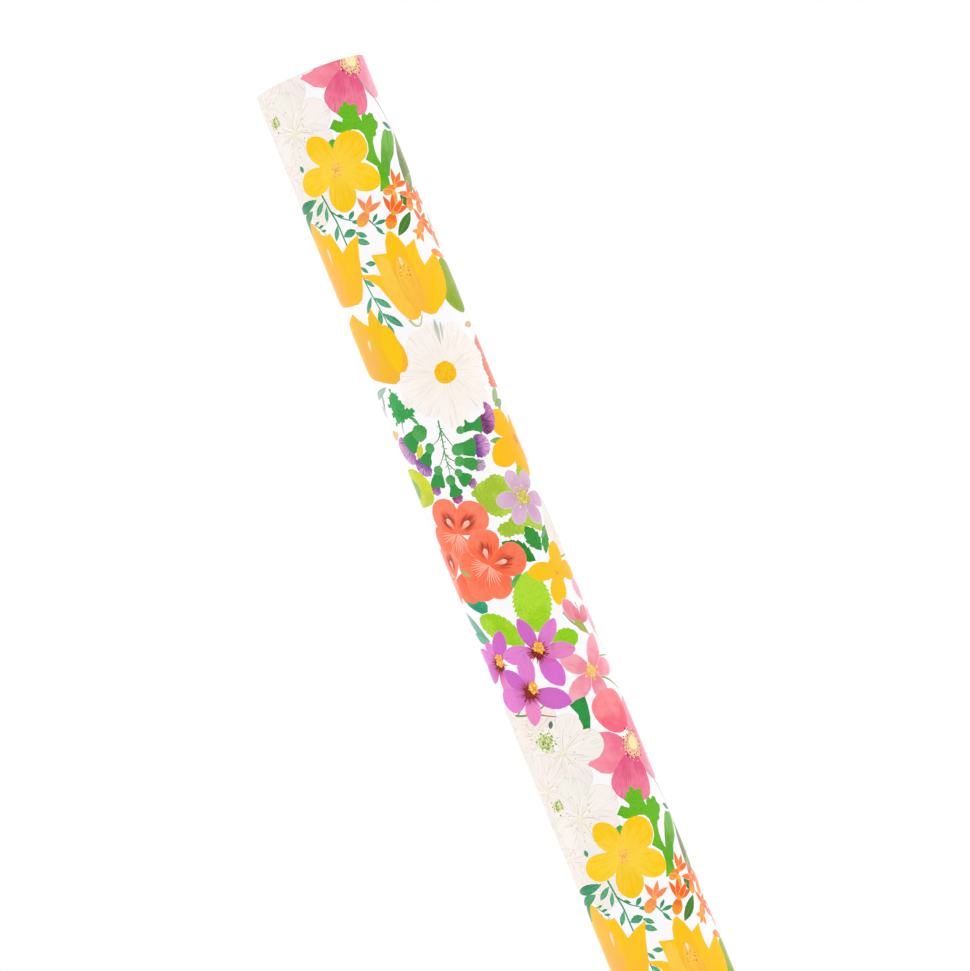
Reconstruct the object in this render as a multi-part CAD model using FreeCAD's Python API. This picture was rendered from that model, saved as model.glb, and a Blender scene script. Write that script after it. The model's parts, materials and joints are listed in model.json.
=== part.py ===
"""A roll of gift wrapping paper, standing on one end.

The roll's axis is +Z and its origin is the centre of the bottom end. All sizes are in millimetres.
A spiral-wound board core of three plies slides in the wound paper. The sheet's last turn lies on the
others, and its free end, at the back, is cut into narrow strips that hinge on each other, so that
together they unroll from a curve to a flat sheet.
"""
import FreeCAD, Part

import math
import os

# The sheet, as it is sold.
sheet_width = 762.0
paper_thickness = 0.088
winding_gap = 0.004
wound_turn_count = 31

# The core. It is cut flush with the sheet's edges.
core_bore_radius = 15.9
ply_thickness = 0.35
core_running_clearance = 0.05

# The free end, which takes up most of the back half of the last turn.
hinge_start_angle = 10.0
strip_angle = 16.0
strip_count = 10
strip_gap = 0.02
free_end_gap = 0.06

# Release glue that holds the free edge down.
glue_dot_radius = 2.2
glue_dot_count = 3
glue_dot_spacing = 250.0
glue_dot_clearance = 0.01

# A strip's curved faces are made of arcs no longer than this, so that a coarse mesh keeps its curve.
longest_arc_angle = 4.0

# Radii that follow from those sizes, from the inside out.
ply_names = ("core_inner_ply", "core_middle_ply", "core_outer_ply")
core_radius = core_bore_radius + len(ply_names) * ply_thickness
wound_inner_radius = core_radius + core_running_clearance
wound_outer_radius = wound_inner_radius + wound_turn_count * (paper_thickness + winding_gap)
last_turn_inner_radius = wound_outer_radius + free_end_gap
roll_radius = last_turn_inner_radius + paper_thickness

# Angles about +Z, anticlockwise from +X as seen from above.
free_edge_angle = hinge_start_angle + strip_count * strip_angle
last_turn_end_angle = 360.0 + hinge_start_angle
half_gap_angle = math.degrees(strip_gap / 2 / roll_radius)


def tube(inner_radius, outer_radius, height):
    """A whole tube standing on z = 0."""
    return Part.makeCylinder(outer_radius, height).cut(Part.makeCylinder(inner_radius, height))


def at_angle(radius, angle):
    """The point on z = 0 at a radius and an angle in degrees."""
    turned = math.radians(angle)
    return FreeCAD.Vector(radius * math.cos(turned), radius * math.sin(turned), 0)


def arc_edges(radius, start_angle, end_angle):
    """Arcs about the axis from one angle to the other, in equal steps."""
    count = math.ceil(abs(end_angle - start_angle) / longest_arc_angle)
    step = (end_angle - start_angle) / count
    edges = []
    for index in range(count):
        first = start_angle + index * step
        ends = (at_angle(radius, first), at_angle(radius, first + step / 2), at_angle(radius, first + step))
        edges.append(Part.Arc(*ends).toShape())
    return edges


def curved_sheet(inner_radius, outer_radius, height, start_angle, end_angle):
    """A sheet that curves round the axis between two angles, standing on z = 0."""
    outer = arc_edges(outer_radius, start_angle, end_angle)
    inner = arc_edges(inner_radius, end_angle, start_angle)
    free_side = Part.makeLine(at_angle(outer_radius, end_angle), at_angle(inner_radius, end_angle))
    root_side = Part.makeLine(at_angle(inner_radius, start_angle), at_angle(outer_radius, start_angle))
    outline = Part.Wire([*outer, free_side, *inner, root_side])
    return Part.Face(outline).extrude(FreeCAD.Vector(0, 0, height))


def make_core_plies():
    """The three board plies, each a tube that fits the one inside it."""
    plies = {}
    for index, name in enumerate(ply_names):
        inner_radius = core_bore_radius + index * ply_thickness
        plies[name] = tube(inner_radius, inner_radius + ply_thickness, sheet_width)
    return plies


def make_wound_turns():
    """All turns but the last. They stand proud by the free end's gap where the last turn is fixed."""
    turns = tube(wound_inner_radius, wound_outer_radius, sheet_width)
    seat = curved_sheet(
        wound_inner_radius,
        last_turn_inner_radius,
        sheet_width,
        free_edge_angle,
        last_turn_end_angle,
    )
    return turns.fuse(seat).removeSplitter()


def make_outer_turn():
    """The fixed part of the last turn, from below the free edge round the front to the first hinge."""
    return curved_sheet(
        last_turn_inner_radius,
        roll_radius,
        sheet_width,
        free_edge_angle + half_gap_angle,
        last_turn_end_angle - half_gap_angle,
    )


def make_free_end_strip(index):
    """One strip of the free end. A small gap at each side keeps it off its neighbours."""
    start_angle = hinge_start_angle + index * strip_angle
    return curved_sheet(
        last_turn_inner_radius,
        roll_radius,
        sheet_width,
        start_angle + half_gap_angle,
        start_angle + strip_angle - half_gap_angle,
    )


def make_tail_glue_dots():
    """Flat dots of release glue under the last strip, evenly spaced along the roll."""
    layer = tube(wound_outer_radius, last_turn_inner_radius - glue_dot_clearance, sheet_width)
    first_height = (sheet_width - (glue_dot_count - 1) * glue_dot_spacing) / 2
    outward = at_angle(1, free_edge_angle - strip_angle / 2)
    dots = []
    for index in range(glue_dot_count):
        centre = FreeCAD.Vector(0, 0, first_height + index * glue_dot_spacing)
        pin = Part.makeCylinder(glue_dot_radius, 2 * roll_radius, centre, outward)
        dots += layer.common(pin).Solids
    return Part.Compound(dots)


def make_parts():
    """Every node of the roll by name."""
    parts = make_core_plies()
    parts["wound_turns"] = make_wound_turns()
    parts["outer_turn"] = make_outer_turn()
    for index in range(strip_count):
        parts[f"free_end_{index + 1}"] = make_free_end_strip(index)
    parts["tail_glue_dots"] = make_tail_glue_dots()
    return parts


os.makedirs("parts", exist_ok=True)
for node, shape in make_parts().items():
    shape.exportStep(f"parts/{node}.step")
    print(node, "solids", len(shape.Solids), "valid", shape.isValid(), "mm3", round(shape.Volume, 2))
print("roll radius", round(roll_radius, 4), "core radius", core_radius)
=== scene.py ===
"""The looks of a roll of gift wrapping paper: its flower print, its spiral sheet and its board core."""
import json
import math
import random

import bpy
import numpy as np
from mathutils import Matrix, Vector
from mathutils.geometry import delaunay_2d_cdt


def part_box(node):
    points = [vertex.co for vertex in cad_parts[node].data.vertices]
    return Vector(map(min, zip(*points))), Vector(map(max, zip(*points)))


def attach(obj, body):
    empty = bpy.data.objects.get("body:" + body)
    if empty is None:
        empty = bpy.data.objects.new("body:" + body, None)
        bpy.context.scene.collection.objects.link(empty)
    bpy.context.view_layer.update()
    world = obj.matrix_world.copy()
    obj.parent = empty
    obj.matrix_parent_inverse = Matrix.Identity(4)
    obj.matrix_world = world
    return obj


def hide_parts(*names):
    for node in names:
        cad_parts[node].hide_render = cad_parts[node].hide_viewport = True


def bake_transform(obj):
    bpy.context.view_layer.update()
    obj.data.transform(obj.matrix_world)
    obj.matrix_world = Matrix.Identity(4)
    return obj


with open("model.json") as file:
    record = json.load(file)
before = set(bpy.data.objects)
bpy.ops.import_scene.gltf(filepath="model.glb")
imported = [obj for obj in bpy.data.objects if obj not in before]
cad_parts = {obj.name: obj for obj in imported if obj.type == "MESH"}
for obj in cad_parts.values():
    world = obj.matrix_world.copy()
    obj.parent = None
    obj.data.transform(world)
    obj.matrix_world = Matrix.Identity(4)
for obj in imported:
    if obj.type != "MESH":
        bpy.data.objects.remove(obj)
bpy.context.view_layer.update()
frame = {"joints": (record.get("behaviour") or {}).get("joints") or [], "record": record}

MM = 0.001

# Sizes from the frame, in millimetres.
roll_radius = -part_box("outer_turn")[0].y / MM
sheet_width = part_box("outer_turn")[1].z / MM
wound_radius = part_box("wound_turns")[1].y / MM
core_ply_radii = [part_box(name)[1].x / MM for name in ("core_inner_ply", "core_middle_ply", "core_outer_ply")]
core_bore_radius = next(m for m in frame["record"]["mounts"] if m["name"] == "core_bore")["dims"]["r_mm"]
hinges = [joint for joint in frame["joints"] if joint["type"] == "hinge"]

# The sheet.
paper_thickness = 0.088
winding_pitch = 0.092

# Angles round the roll, in degrees from the front (-Y), anticlockwise as seen from above. Column lines
# are counted along the sheet from the front: every turn is folded at the same angles, so that its flats
# lie on the flats of the turn below.
column_angle = 4
columns_per_turn = 360 // column_angle
column_width = math.radians(column_angle) * roll_radius
innermost_column = -2768
below_free_end_column = -65
last_turn_start_column = -25
last_turn_split_column = -1
first_hinge_column = 25
free_edge_column = 65
strip_columns = 4
climb_columns = 15

# The printed repeat: 91 columns wide and 10 inches long. Each repeat steps sideways by two columns.
repeat_columns = 91
repeat_width = repeat_columns * column_width
repeat_length = 254.0
repeat_count = 3
repeat_step_columns = 2
repeat_step = repeat_step_columns * column_width
repeat_left = last_turn_start_column * column_width

# The roll's back, where the print is regrouped.
back_left = 27.0
back_right = 99.0

# The baked textures lay the print out in blocks side by side, which end at quarters of the repeat.
bake_rows_in_repeat = 4
bake_row_length = repeat_length / bake_rows_in_repeat
bake_block_counts = (1, 2, 3, 4, 6, 12)
bake_gap = 0.6
bake_print_share = 0.95
bake_plain_left = 0.96
bake_plain_share = 0.03

# Where the baked textures hold the wound turns, the glue and the plies: in shares of the texture, and in
# shares per metre (the wound turns) or per millimetre (the glue).
bake_end_middles = (0.25, 0.75)
bake_end_scale = 11
bake_wall_bottom = 0.52
bake_wall_scale = 0.6
bake_glue_scale = 0.02
bake_ply_length = 0.48
bake_ply_height = 0.9
bake_ply_spare_turns = 3
bake_corner = [(0.0, 0.99), (0.01, 0.99), (0.01, 1.0), (0.0, 1.0)]

# The core's helical plies and the glue.
ply_lead = 90.0
ply_seam_gap = 0.4
ply_clearance = 0.01
ply_shortest_section = 0.01
glue_dot_radius = 2.2
glue_dot_count = 3
glue_dot_spacing = 250.0
glue_sink = 0.01
glue_top_radius = 19.908
glue_rings = 5
glue_segments = 24
glue_roundness = 0.6

# The studio: the camera in millimetres and degrees, the floor and the lights in metres and watts.
camera_place = (3.1, -1240.0, 608.0)
camera_roll = 22.1
camera_lens = 132.6
floor_radius = 1.8
side_light_place = (0.9, 0.1, 0.5)
side_light_size = (0.8, 1.4)
side_light_power = 0.6

# The print's teeth along a leaf's edge, in millimetres, and the dice for all its small chances.
tooth_spacing = 0.9
dice = random.Random(7)


# ---------------------------------------------------------------------------------------------
# Outlines of the printed shapes. Places are millimetres on the flat sheet: x to the right from
# the front of the roll, y down from the top edge. Each outline runs once round its shape.
# ---------------------------------------------------------------------------------------------

class Shape:
    """One printed shape: its outline, and where and how its inner pattern grows."""

    def __init__(self, outline, root, tip, half_width, ink, colours):
        self.outline = outline
        self.root = root
        self.tip = tip
        self.half_width = half_width
        self.ink = ink
        self.colours = colours


shapes = []


def srgb(text):
    """A linear colour from a hex code."""
    channels = [int(text[i:i + 2], 16) / 255 for i in (1, 3, 5)]
    return [c / 12.92 if c <= 0.04045 else ((c + 0.055) / 1.055) ** 2.4 for c in channels]


def print_shape(outline, root, tip, half_width, ink, colours, jitter=0.05):
    """Adds a shape above the ones before it. Its colours vary a little, as real petals do."""
    shade = 1 + dice.uniform(-jitter, jitter)
    mixed = [[min(1.0, c * shade) for c in srgb(colour)] for colour in colours]
    shapes.append(Shape(outline, root, tip, max(half_width, 0.05), ink, mixed))


def along(root, tip, t, side):
    """The point at share t from root to tip and side millimetres off that line."""
    dx, dy = tip[0] - root[0], tip[1] - root[1]
    length = math.hypot(dx, dy)
    return (root[0] + dx * t - dy / length * side, root[1] + dy * t + dx / length * side)


def blade(root, tip, width, widest=0.6, fullness=0.7, bend=0.0, teeth=0, tooth=0.12, steps=9):
    """The outline of a petal or leaf from its root to its tip, whose middle bends to one side."""
    power = math.log(0.5) / math.log(widest)

    def edge(t, sign):
        half = width / 2 * max(0.0, math.sin(math.pi * t ** power)) ** fullness
        notch = 1 - tooth * ((t * teeth) % 1) if teeth else 1
        return along(root, tip, t, sign * half * notch + bend * math.sin(math.pi * t))

    if teeth:
        stops = [(i // 2 + (0.98 if i % 2 else 0.02)) / (2 * teeth) for i in range(1, 4 * teeth - 1)]
    else:
        stops = [(1 - math.cos(math.pi * i / steps)) / 2 for i in range(1, steps)]
    near, far = along(root, tip, 0, 0), along(root, tip, 1, 0)
    return [near, *[edge(t, 1) for t in stops], far, *[edge(t, -1) for t in reversed(stops)]]


def stretched(root, tip, grow):
    """Root and tip moved apart by grow millimetres at each end."""
    length = math.dist(root, tip)
    return along(root, tip, -grow / length, 0), along(root, tip, 1 + grow / length, 0)


def petal(root, tip, width, colours, rim=None, rim_width=0.2, ink="petal", jitter=0.05, **form):
    """A petal or leaf with its inner pattern, on a pale rim where it has one."""
    if rim:
        low, high = stretched(root, tip, rim_width)
        print_shape(blade(low, high, width + 2 * rim_width, **form), root, tip, width, "plain", [rim] * 3, 0)
    print_shape(blade(root, tip, width, **form), root, tip, width / 2, ink, colours, jitter)


def hair(root, tip, width, colour, half_width=0.1, **form):
    """A hair-thin streak of one colour."""
    print_shape(blade(root, tip, width, **form), root, tip, half_width, "plain", [colour] * 3)


def rounded(points, times):
    """The outline with its corners cut off so many times."""
    for _ in range(times):
        pairs = list(zip(points, points[1:] + points[:1]))
        points = [(a[0] * share + b[0] * (1 - share), a[1] * share + b[1] * (1 - share))
                  for a, b in pairs for share in (0.75, 0.25)]
    return points


def toothed(points, depth):
    """The outline with a small tooth at each step along it."""
    edge = []
    for start, end in zip(points, points[1:] + points[:1]):
        steps = max(1, round(math.dist(start, end) / tooth_spacing))
        away = (end[1] - start[1]) / math.dist(start, end), (start[0] - end[0]) / math.dist(start, end)
        for i in range(steps):
            t = i / steps
            place = start[0] + t * (end[0] - start[0]), start[1] + t * (end[1] - start[1])
            push = dice.uniform(0.5, 1.0) * depth * (1 if len(edge) % 2 else -1)
            edge.append((place[0] + push * away[0], place[1] + push * away[1]))
    return edge


def freeform(points, root, tip, half_width, colours, ink="petal", round_off=0, depth=0):
    """A shape through given points, with rounded corners and a toothed edge where it has them."""
    points = rounded(points, round_off)
    if depth:
        points = toothed(points, depth)
    print_shape(points, root, tip, half_width, ink, colours)


def spot(centre, radius, colours, ink="plain", wobble=0.06, count=14, squash=1.0):
    """A round spot with a slightly uneven edge."""
    points = []
    for index in range(count):
        angle = 2 * math.pi * index / count
        reach = radius * (1 + dice.uniform(-wobble, wobble))
        points.append((centre[0] + reach * math.cos(angle), centre[1] + reach * math.sin(angle) * squash))
    tip = (centre[0] + radius, centre[1])
    print_shape(points, centre, tip, radius, ink, colours)


def stem(points, width, colour):
    """A stem along a smooth line through a few points, thinner towards its last one."""
    line = []
    for index in range(len(points) - 1):
        before = points[max(index - 1, 0)]
        a, b = points[index], points[index + 1]
        after = points[min(index + 2, len(points) - 1)]
        for step in range(4):
            t = step / 4
            line.append(tuple(
                0.5 * (2 * a[k] + (b[k] - before[k]) * t
                       + (2 * before[k] - 5 * a[k] + 4 * b[k] - after[k]) * t * t
                       + (3 * a[k] - before[k] - 3 * b[k] + after[k]) * t ** 3)
                for k in (0, 1)))
    line.append(points[-1])
    left, right = [], []
    for index, point in enumerate(line):
        here, there = line[max(index - 1, 0)], line[min(index + 1, len(line) - 1)]
        dx, dy = there[0] - here[0], there[1] - here[1]
        length = math.hypot(dx, dy) or 1.0
        half = width / 2 * (1 - 0.55 * index / (len(line) - 1))
        left.append((point[0] - dy / length * half, point[1] + dx / length * half))
        right.append((point[0] + dy / length * half, point[1] - dx / length * half))
    print_shape(left + right[::-1], points[0], points[-1], width / 2, "plain", [colour] * 3)


def polar(centre, angle, distance):
    """A point at an angle in degrees, clockwise from straight up on the sheet."""
    turned = math.radians(angle)
    return (centre[0] + distance * math.sin(turned), centre[1] - distance * math.cos(turned))


def stamens(centre, radius, heads, count, size, reach=(0.35, 1.0), stalk=None):
    """A burst of small pollen heads round a centre, on fine stalks where they have any."""
    for index in range(count):
        angle = 360 * (index + dice.uniform(-0.35, 0.35)) / count
        distance = radius * dice.uniform(*reach)
        head = polar(centre, angle, distance)
        if stalk:
            root = polar(centre, angle, distance * 0.15)
            hair(root, head, 0.28, stalk, widest=0.5, fullness=0.5, steps=4)
        colour = heads[index % len(heads)]
        spot(head, size * dice.uniform(0.7, 1.2), [colour] * 3, count=6, wobble=0.15)


# ---------------------------------------------------------------------------------------------
# The flowers and leaves.
# ---------------------------------------------------------------------------------------------

def buttercup(centre, tips, width):
    """Five broad yellow petals that run together round a small stippled heart."""
    colours = ("#FFD43C", "#FFCC08", "#F5B608")
    spot(centre, 6.2, colours, ink="petal")
    for tip, share in tips:
        petal(centre, tip, width * share, colours, widest=0.6, fullness=0.52)
    stamens(centre, 2.6, ["#F7A86A", "#FBC98A", "#F29A5A", "#F9B85A"], 34, 0.3, (0.1, 1.0))


def white_blossom(centre, angles, length, width, heart, tint="#FAF3EE"):
    """A nearly white flower: fine grey outlines, long pale stamens with dark tips, and a small heart."""
    for index, angle in enumerate(angles):
        tone = ("#FBF2ED", "#F5F2E9", "#F9EFEA")[index % 3]
        petal(centre, polar(centre, angle, length * (1 - 0.06 * (index % 2))), width, (tint, tone, "#DDD3C9"),
              rim="#E0D8D4", rim_width=0.13, jitter=0.012, widest=0.62, fullness=0.5, ink="veined")
    for index in range(22):
        angle = 360 * index / 22 + dice.uniform(-6, 6)
        root, head = polar(centre, angle, 0.8), polar(centre, angle, length * dice.uniform(0.25, 0.6))
        colour = ("#EFE9C6", "#D9D0C2", "#FFFDF6")[index % 3]
        hair(root, head, 0.26, colour, widest=0.5, fullness=0.5, bend=dice.uniform(-0.8, 0.8), steps=5)
        colour = ("#C4B2A2", "#CFC7B6", "#B5AE92")[index % 3]
        spot(head, dice.uniform(0.16, 0.28), [colour] * 3, count=6, wobble=0.2)
    spot(centre, heart[1] * 0.8, ["#FBF7EE", heart[0], heart[0]], ink="pollen", wobble=0.15)
    stamens(centre, heart[1] * 1.2, [heart[0], "#F7F1D8"], 12, 0.25, (0.5, 1.0))


def green_stamens(centre, radius, count):
    """The yellow-green heart of a pale flower."""
    spot(centre, 0.6 * radius, ["#E3E8C4", "#CBD592", "#AFBE70"], ink="pollen", wobble=0.3)
    stamens(centre, radius, ["#BFCB66", "#97AB48", "#DDE2A4", "#7F9A50", "#CBD67E"], count, 0.46, (0.05, 1.0))


def leaf(root, tip, width, colours, ink="leaf", widest=0.48, fullness=0.9, tooth=0.1, **form):
    """A leaf, which is fullest near its middle."""
    petal(root, tip, width, colours, ink=ink, widest=widest, fullness=fullness, tooth=tooth, **form)


def sprig(points, leaves, colours, width=0.55):
    """A thin stem with narrow leaves, each given by its foot and its tip."""
    stem(points, width, colours[0])
    for foot, tip, leaf_width in leaves:
        petal(foot, tip, leaf_width, colours, ink="leaf", widest=0.55, fullness=0.95, steps=6)


def trumpet(heart, angles, length, width, tube_end, tube_width, hot, warm):
    """A small orange flower: narrow petals on a tube."""
    petal(tube_end, heart, tube_width, (warm, hot, "#F08A1E"), widest=0.45, fullness=0.6, steps=7)
    for angle in angles:
        petal(polar(heart, angle + 180, 0.8), polar(heart, angle, length), width, (hot, hot, "#E85A12"),
              rim="#FFC79A", rim_width=0.2, widest=0.45, fullness=0.9, steps=6)
    spot(heart, width * 0.45, [warm] * 3, count=8)


def daisy(centre, radius, disc_radius):
    """Broad cream petals round a domed yellow disc."""
    cream = ("#FCF3EA", "#FEF6F1", "#E3D9CE")
    for index in range(13):
        angle = 360 * index / 13 + 8 * math.sin(index * 1.7)
        reach = radius * (0.99 + 0.08 * math.sin(index * 2.9))
        petal(polar(centre, angle, disc_radius * 0.5), polar(centre, angle, reach), radius * 0.56, cream,
              rim="#F4ECE6", rim_width=0.1, jitter=0.012, widest=0.68, fullness=0.56, ink="veined")
    spot(centre, disc_radius, ["#FFC810", "#FFD01C", "#F2B20C"], ink="pollen", count=24, wobble=0.035)


def thistle(ball, ball_radius, calyx, tuft, dark, light):
    """A round bud base, a green calyx and a purple tuft beyond it."""
    middle = [sum(point[i] for point in tuft) / len(tuft) for i in (0, 1)]
    reach = 0.36 * math.dist(tuft[0], tuft[len(tuft) // 2]) / math.dist(ball, middle)
    near = along(ball, middle, 1 - reach, 0)
    far = along(ball, middle, 1 + reach, 0)
    freeform(tuft, near, far, 2.2, [dark, light, "#4A2260"], ink="hair", round_off=1, depth=0.16)
    freeform(calyx, ball, middle, 2.5, ["#3FA046", "#319A45", "#1F7A34"], ink="moss", round_off=1, depth=0.08)
    spot(ball, ball_radius, ["#4AA552", "#5BB05E", "#2F8A40"], ink="moss", wobble=0.06)


def pelargonium(centre, petals, colours):
    """Round coral petals: some with a dark flare and a pale tongue, the others with pale streaks."""
    for tip, width, marked in petals:
        petal(centre, tip, width, colours, rim="#FF9A80", rim_width=0.14, widest=0.62, fullness=0.52,
              ink="flare" if marked else "petal")
        turn = math.degrees(math.atan2(tip[0] - centre[0], centre[1] - tip[1]))
        if marked:
            petal(along(centre, tip, 0.1, 0), along(centre, tip, 0.48, 0), width * 0.16,
                  ("#FF9A7C", "#FFC9B0", "#E0705A"), ink="hair", widest=0.72, fullness=0.7, steps=6)
        else:
            for index in range(9):
                head = polar(centre, turn + 9 * (index - 4), dice.uniform(5, 8.4))
                colour = ("#FFB49C", "#FFC4B0")[index % 2]
                hair(centre, head, 0.34, colour, 0.15, widest=0.6, fullness=0.6, steps=5)


def purple_flower(centre, petals, heart_offset):
    """Long violet-pink petals with a brown-red throat, and a tall tuft of orange stamens."""
    tones = ("#EA86D4", "#DA6ECC", "#F08CC6")
    for index, (tip, width) in enumerate(petals):
        petal(centre, tip, width, ("#CE5A9C", tones[index % 3], "#B450BC"), rim="#EA9EDF", rim_width=0.12,
              widest=0.56, fullness=0.66, ink="throat")
    for index in range(34):
        angle = 360 * index / 34 + dice.uniform(-5, 5)
        head = polar(centre, angle, dice.uniform(2.8, 4.6))
        colour = ("#8C2A22", "#A03A2E", "#7A2440")[index % 3]
        hair(centre, head, 0.44, colour, 0.15, widest=0.35, fullness=0.6, steps=4)
    spot(centre, 2.2, ["#8E2C20", "#A0382A", "#6A1A1A"], ink="pollen", wobble=0.22)
    heart = (centre[0] + heart_offset[0], centre[1] + heart_offset[1])
    spot(heart, 1.5, ["#F7A83C", "#FFC45A", "#E9902E"], ink="pollen", wobble=0.25, squash=1.5)
    stamens(heart, 2.1, ["#FFC04D", "#F7A63A", "#FFD98C"], 16, 0.42, (0.3, 1.0))


# ---------------------------------------------------------------------------------------------
# The composition. Each group is drawn where it lies on the front of the roll.
# ---------------------------------------------------------------------------------------------

def draw_white_blossoms():
    white_blossom((-27, 30), (-60, 20, 95, 165, 230), 14, 13, ("#EFE3A6", 1.0), "#FBEFEB")
    white_blossom((-24, 6), (-75, -20, 40, 110, 190), 15, 14, ("#E9EDBE", 1.0), "#FBEFEC")
    white_blossom((-15, 42), (-80, -20, 60, 120, 200), 9, 9, ("#EFE3A6", 0.8), "#FBF0EC")
    white_blossom((-12.8, 17.8), (72, 5, -55, -115, 175, 130), 15.5, 12, ("#EFE3A6", 1.3))
    green_stamens((-20.5, 11.7), 3.2, 36)
    leaf((-16, 31.2), (-16, 28.6), 1.8, ("#4F9A78", "#4F9A78", "#2F7A58"))


def draw_cream_blossoms():
    white_blossom((-26, 240), (-80, -20, 30, 120, 200), 13, 13, ("#E9EDBE", 1.0), "#FBEDE9")
    white_blossom((-14, 239), (-75, -20, 40), 12, 12, ("#E9EDBE", 1.0), "#FBEDE9")
    white_blossom((-26, 256), (-80, -20, 30, 120, 200), 12, 12, ("#E9EDBE", 1.0), "#FBEFEC")
    white_blossom((-6.5, 249), (-95, 214, 172, 30, 92), 14.6, 11, ("#F2DCA0", 1.3))
    green_stamens((-11.4, 243.3), 4.2, 70)
    leaf((-7.8, 239.6), (-6.3, 237.0), 1.6, ("#6E7F60", "#4D6B4A", "#3C5A3A"))


def draw_anemone():
    rose = ("#F27590", "#FB97A8", "#E2587E")
    pale = ("#F592AA", "#F9B4C4", "#F08AA4")
    petal((17.4, -1), (34, -9), 19, pale, fullness=0.5)
    petal((17, 2), (32, 10.5), 19, pale, fullness=0.5)
    freeform([
        (-3.2, 1.6), (-1.8, 3.2), (0.2, 6), (3.1, 7.5), (6.2, 7.3), (9.2, 5.8), (12.4, 3.4), (15.4, 0),
        (11, -4.2), (8.2, -6.2), (4.2, -7.4), (1.4, -5), (0.2, -0.6),
    ], (16, 1), (-3, 2), 7, rose, ink="veined")
    freeform([
        (5.2, -13.8), (6.2, -17.2), (9.4, -19.4), (13.6, -20.2), (18.9, -18.8), (21.6, -15.4), (21.6, -11.4),
        (20.4, -7.8), (18.2, -4.6), (13.6, -3.6), (9.4, -5.4), (6.6, -9),
    ], (15, -4), (13.4, -20), 8, ("#F4687C", "#FD9296", "#E8586E"), round_off=1)
    freeform([
        (8.6, 4.4), (4.4, 7.2), (2.1, 9.9), (1.6, 13), (3.2, 16.8), (7, 19.4), (11.5, 20.6), (14.7, 20.2),
        (17.5, 16.8), (18.5, 12.9), (18.5, 9.5), (17.2, 6.2), (14.4, 2.4),
    ], (14, 2), (9, 20), 8, ("#EC5C88", "#FB88A2", "#D23C74"), ink="veined", round_off=1)
    stem([(18.8, 9), (21.4, 14.2), (24.2, 19.4), (26.4, 26), (27.4, 33)], 0.8, "#B9A9A4")
    spot((16.9, 1.6), 4.6, ["#F9D3A8", "#F3C49A", "#EA9A84"], ink="pollen", wobble=0.15)
    stamens((16.9, 1.6), 6.2, ["#8C3A33", "#A84C40", "#6E2A2C", "#F7D98C", "#F2B87A"], 84, 0.32, (0.45, 1.0))
    spot((17.4, 1.2), 2.5, ["#F5E5AE", "#F0DDA0", "#FAF0C6"], ink="pollen", wobble=0.15)


def draw_lobed_leaf():
    fresh = ("#5DB414", "#6CC01E", "#3F9410")
    leaf((21, 24.8), (26, 27.5), 2.2, ("#4F8F6F", "#5FA07F", "#3B7A5A"))
    leaf((30, 28), (20.6, 52), 8, ("#84935A", "#9AA66E", "#6A7A44"), ink="moss")
    freeform([
        (12.2, 43), (12.4, 38.2), (14.1, 34.8), (16.4, 30.9), (19, 28.1), (20.8, 27.2), (22.6, 28.1),
        (25.6, 28.2), (25.2, 30.6), (22.8, 33.3), (20.2, 36.4), (16.6, 39), (13.8, 43.4),
    ], (12.5, 44), (22, 28), 4, ("#62AE24", "#86C654", "#3F9418"), ink="veined")
    spot((-1.2, 26.9), 2.1, ["#55B044", "#63BB4A", "#3F9133"], ink="moss")
    freeform([
        (-0.3, 21.2), (0.9, 20), (2.3, 18.7), (3.3, 19.6), (4.7, 20.6), (5.3, 19.6), (3.9, 17.2),
        (5.4, 16.6), (5.6, 15.3), (7, 15.5), (7.8, 13.9), (8.9, 14.7), (9.2, 16.2), (10.6, 15.8), (12, 16.6),
        (11.4, 18.4), (11.2, 20.4), (11.6, 22.6), (12.2, 20.8), (13.8, 20), (14.6, 21.1), (16.2, 20.4),
        (17.5, 21.2), (17.3, 22.8), (18.3, 24.6), (17.3, 26.2), (15.8, 27), (15.2, 28.6), (13.7, 28.9),
        (12.7, 30.4), (12.1, 33), (11.9, 35.6), (12.3, 38), (12.8, 41), (13.2, 43.6), (12.6, 46.6),
        (10.4, 47.8), (7.9, 47.5), (9.1, 44.9), (10.1, 42.2), (10.4, 38.9), (7.4, 35.4), (9.7, 32.9),
        (10.5, 30.2), (10.4, 26.9), (9.1, 25), (7.1, 24.2), (4.4, 24.3), (2.4, 23.7), (1.4, 23.1), (1, 22.2),
    ], (11, 47), (9, 15), 8, fresh, ink="moss")


def draw_buttercup():
    tips = [((9.2, 26.2), 1.18), ((-8.6, 21.4), 0.86), ((-19.2, 36.8), 0.94), ((-5.8, 49.8), 0.96),
            ((9.4, 44.6), 0.98)]
    buttercup((-3.2, 35), tips, 10.2)


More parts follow.
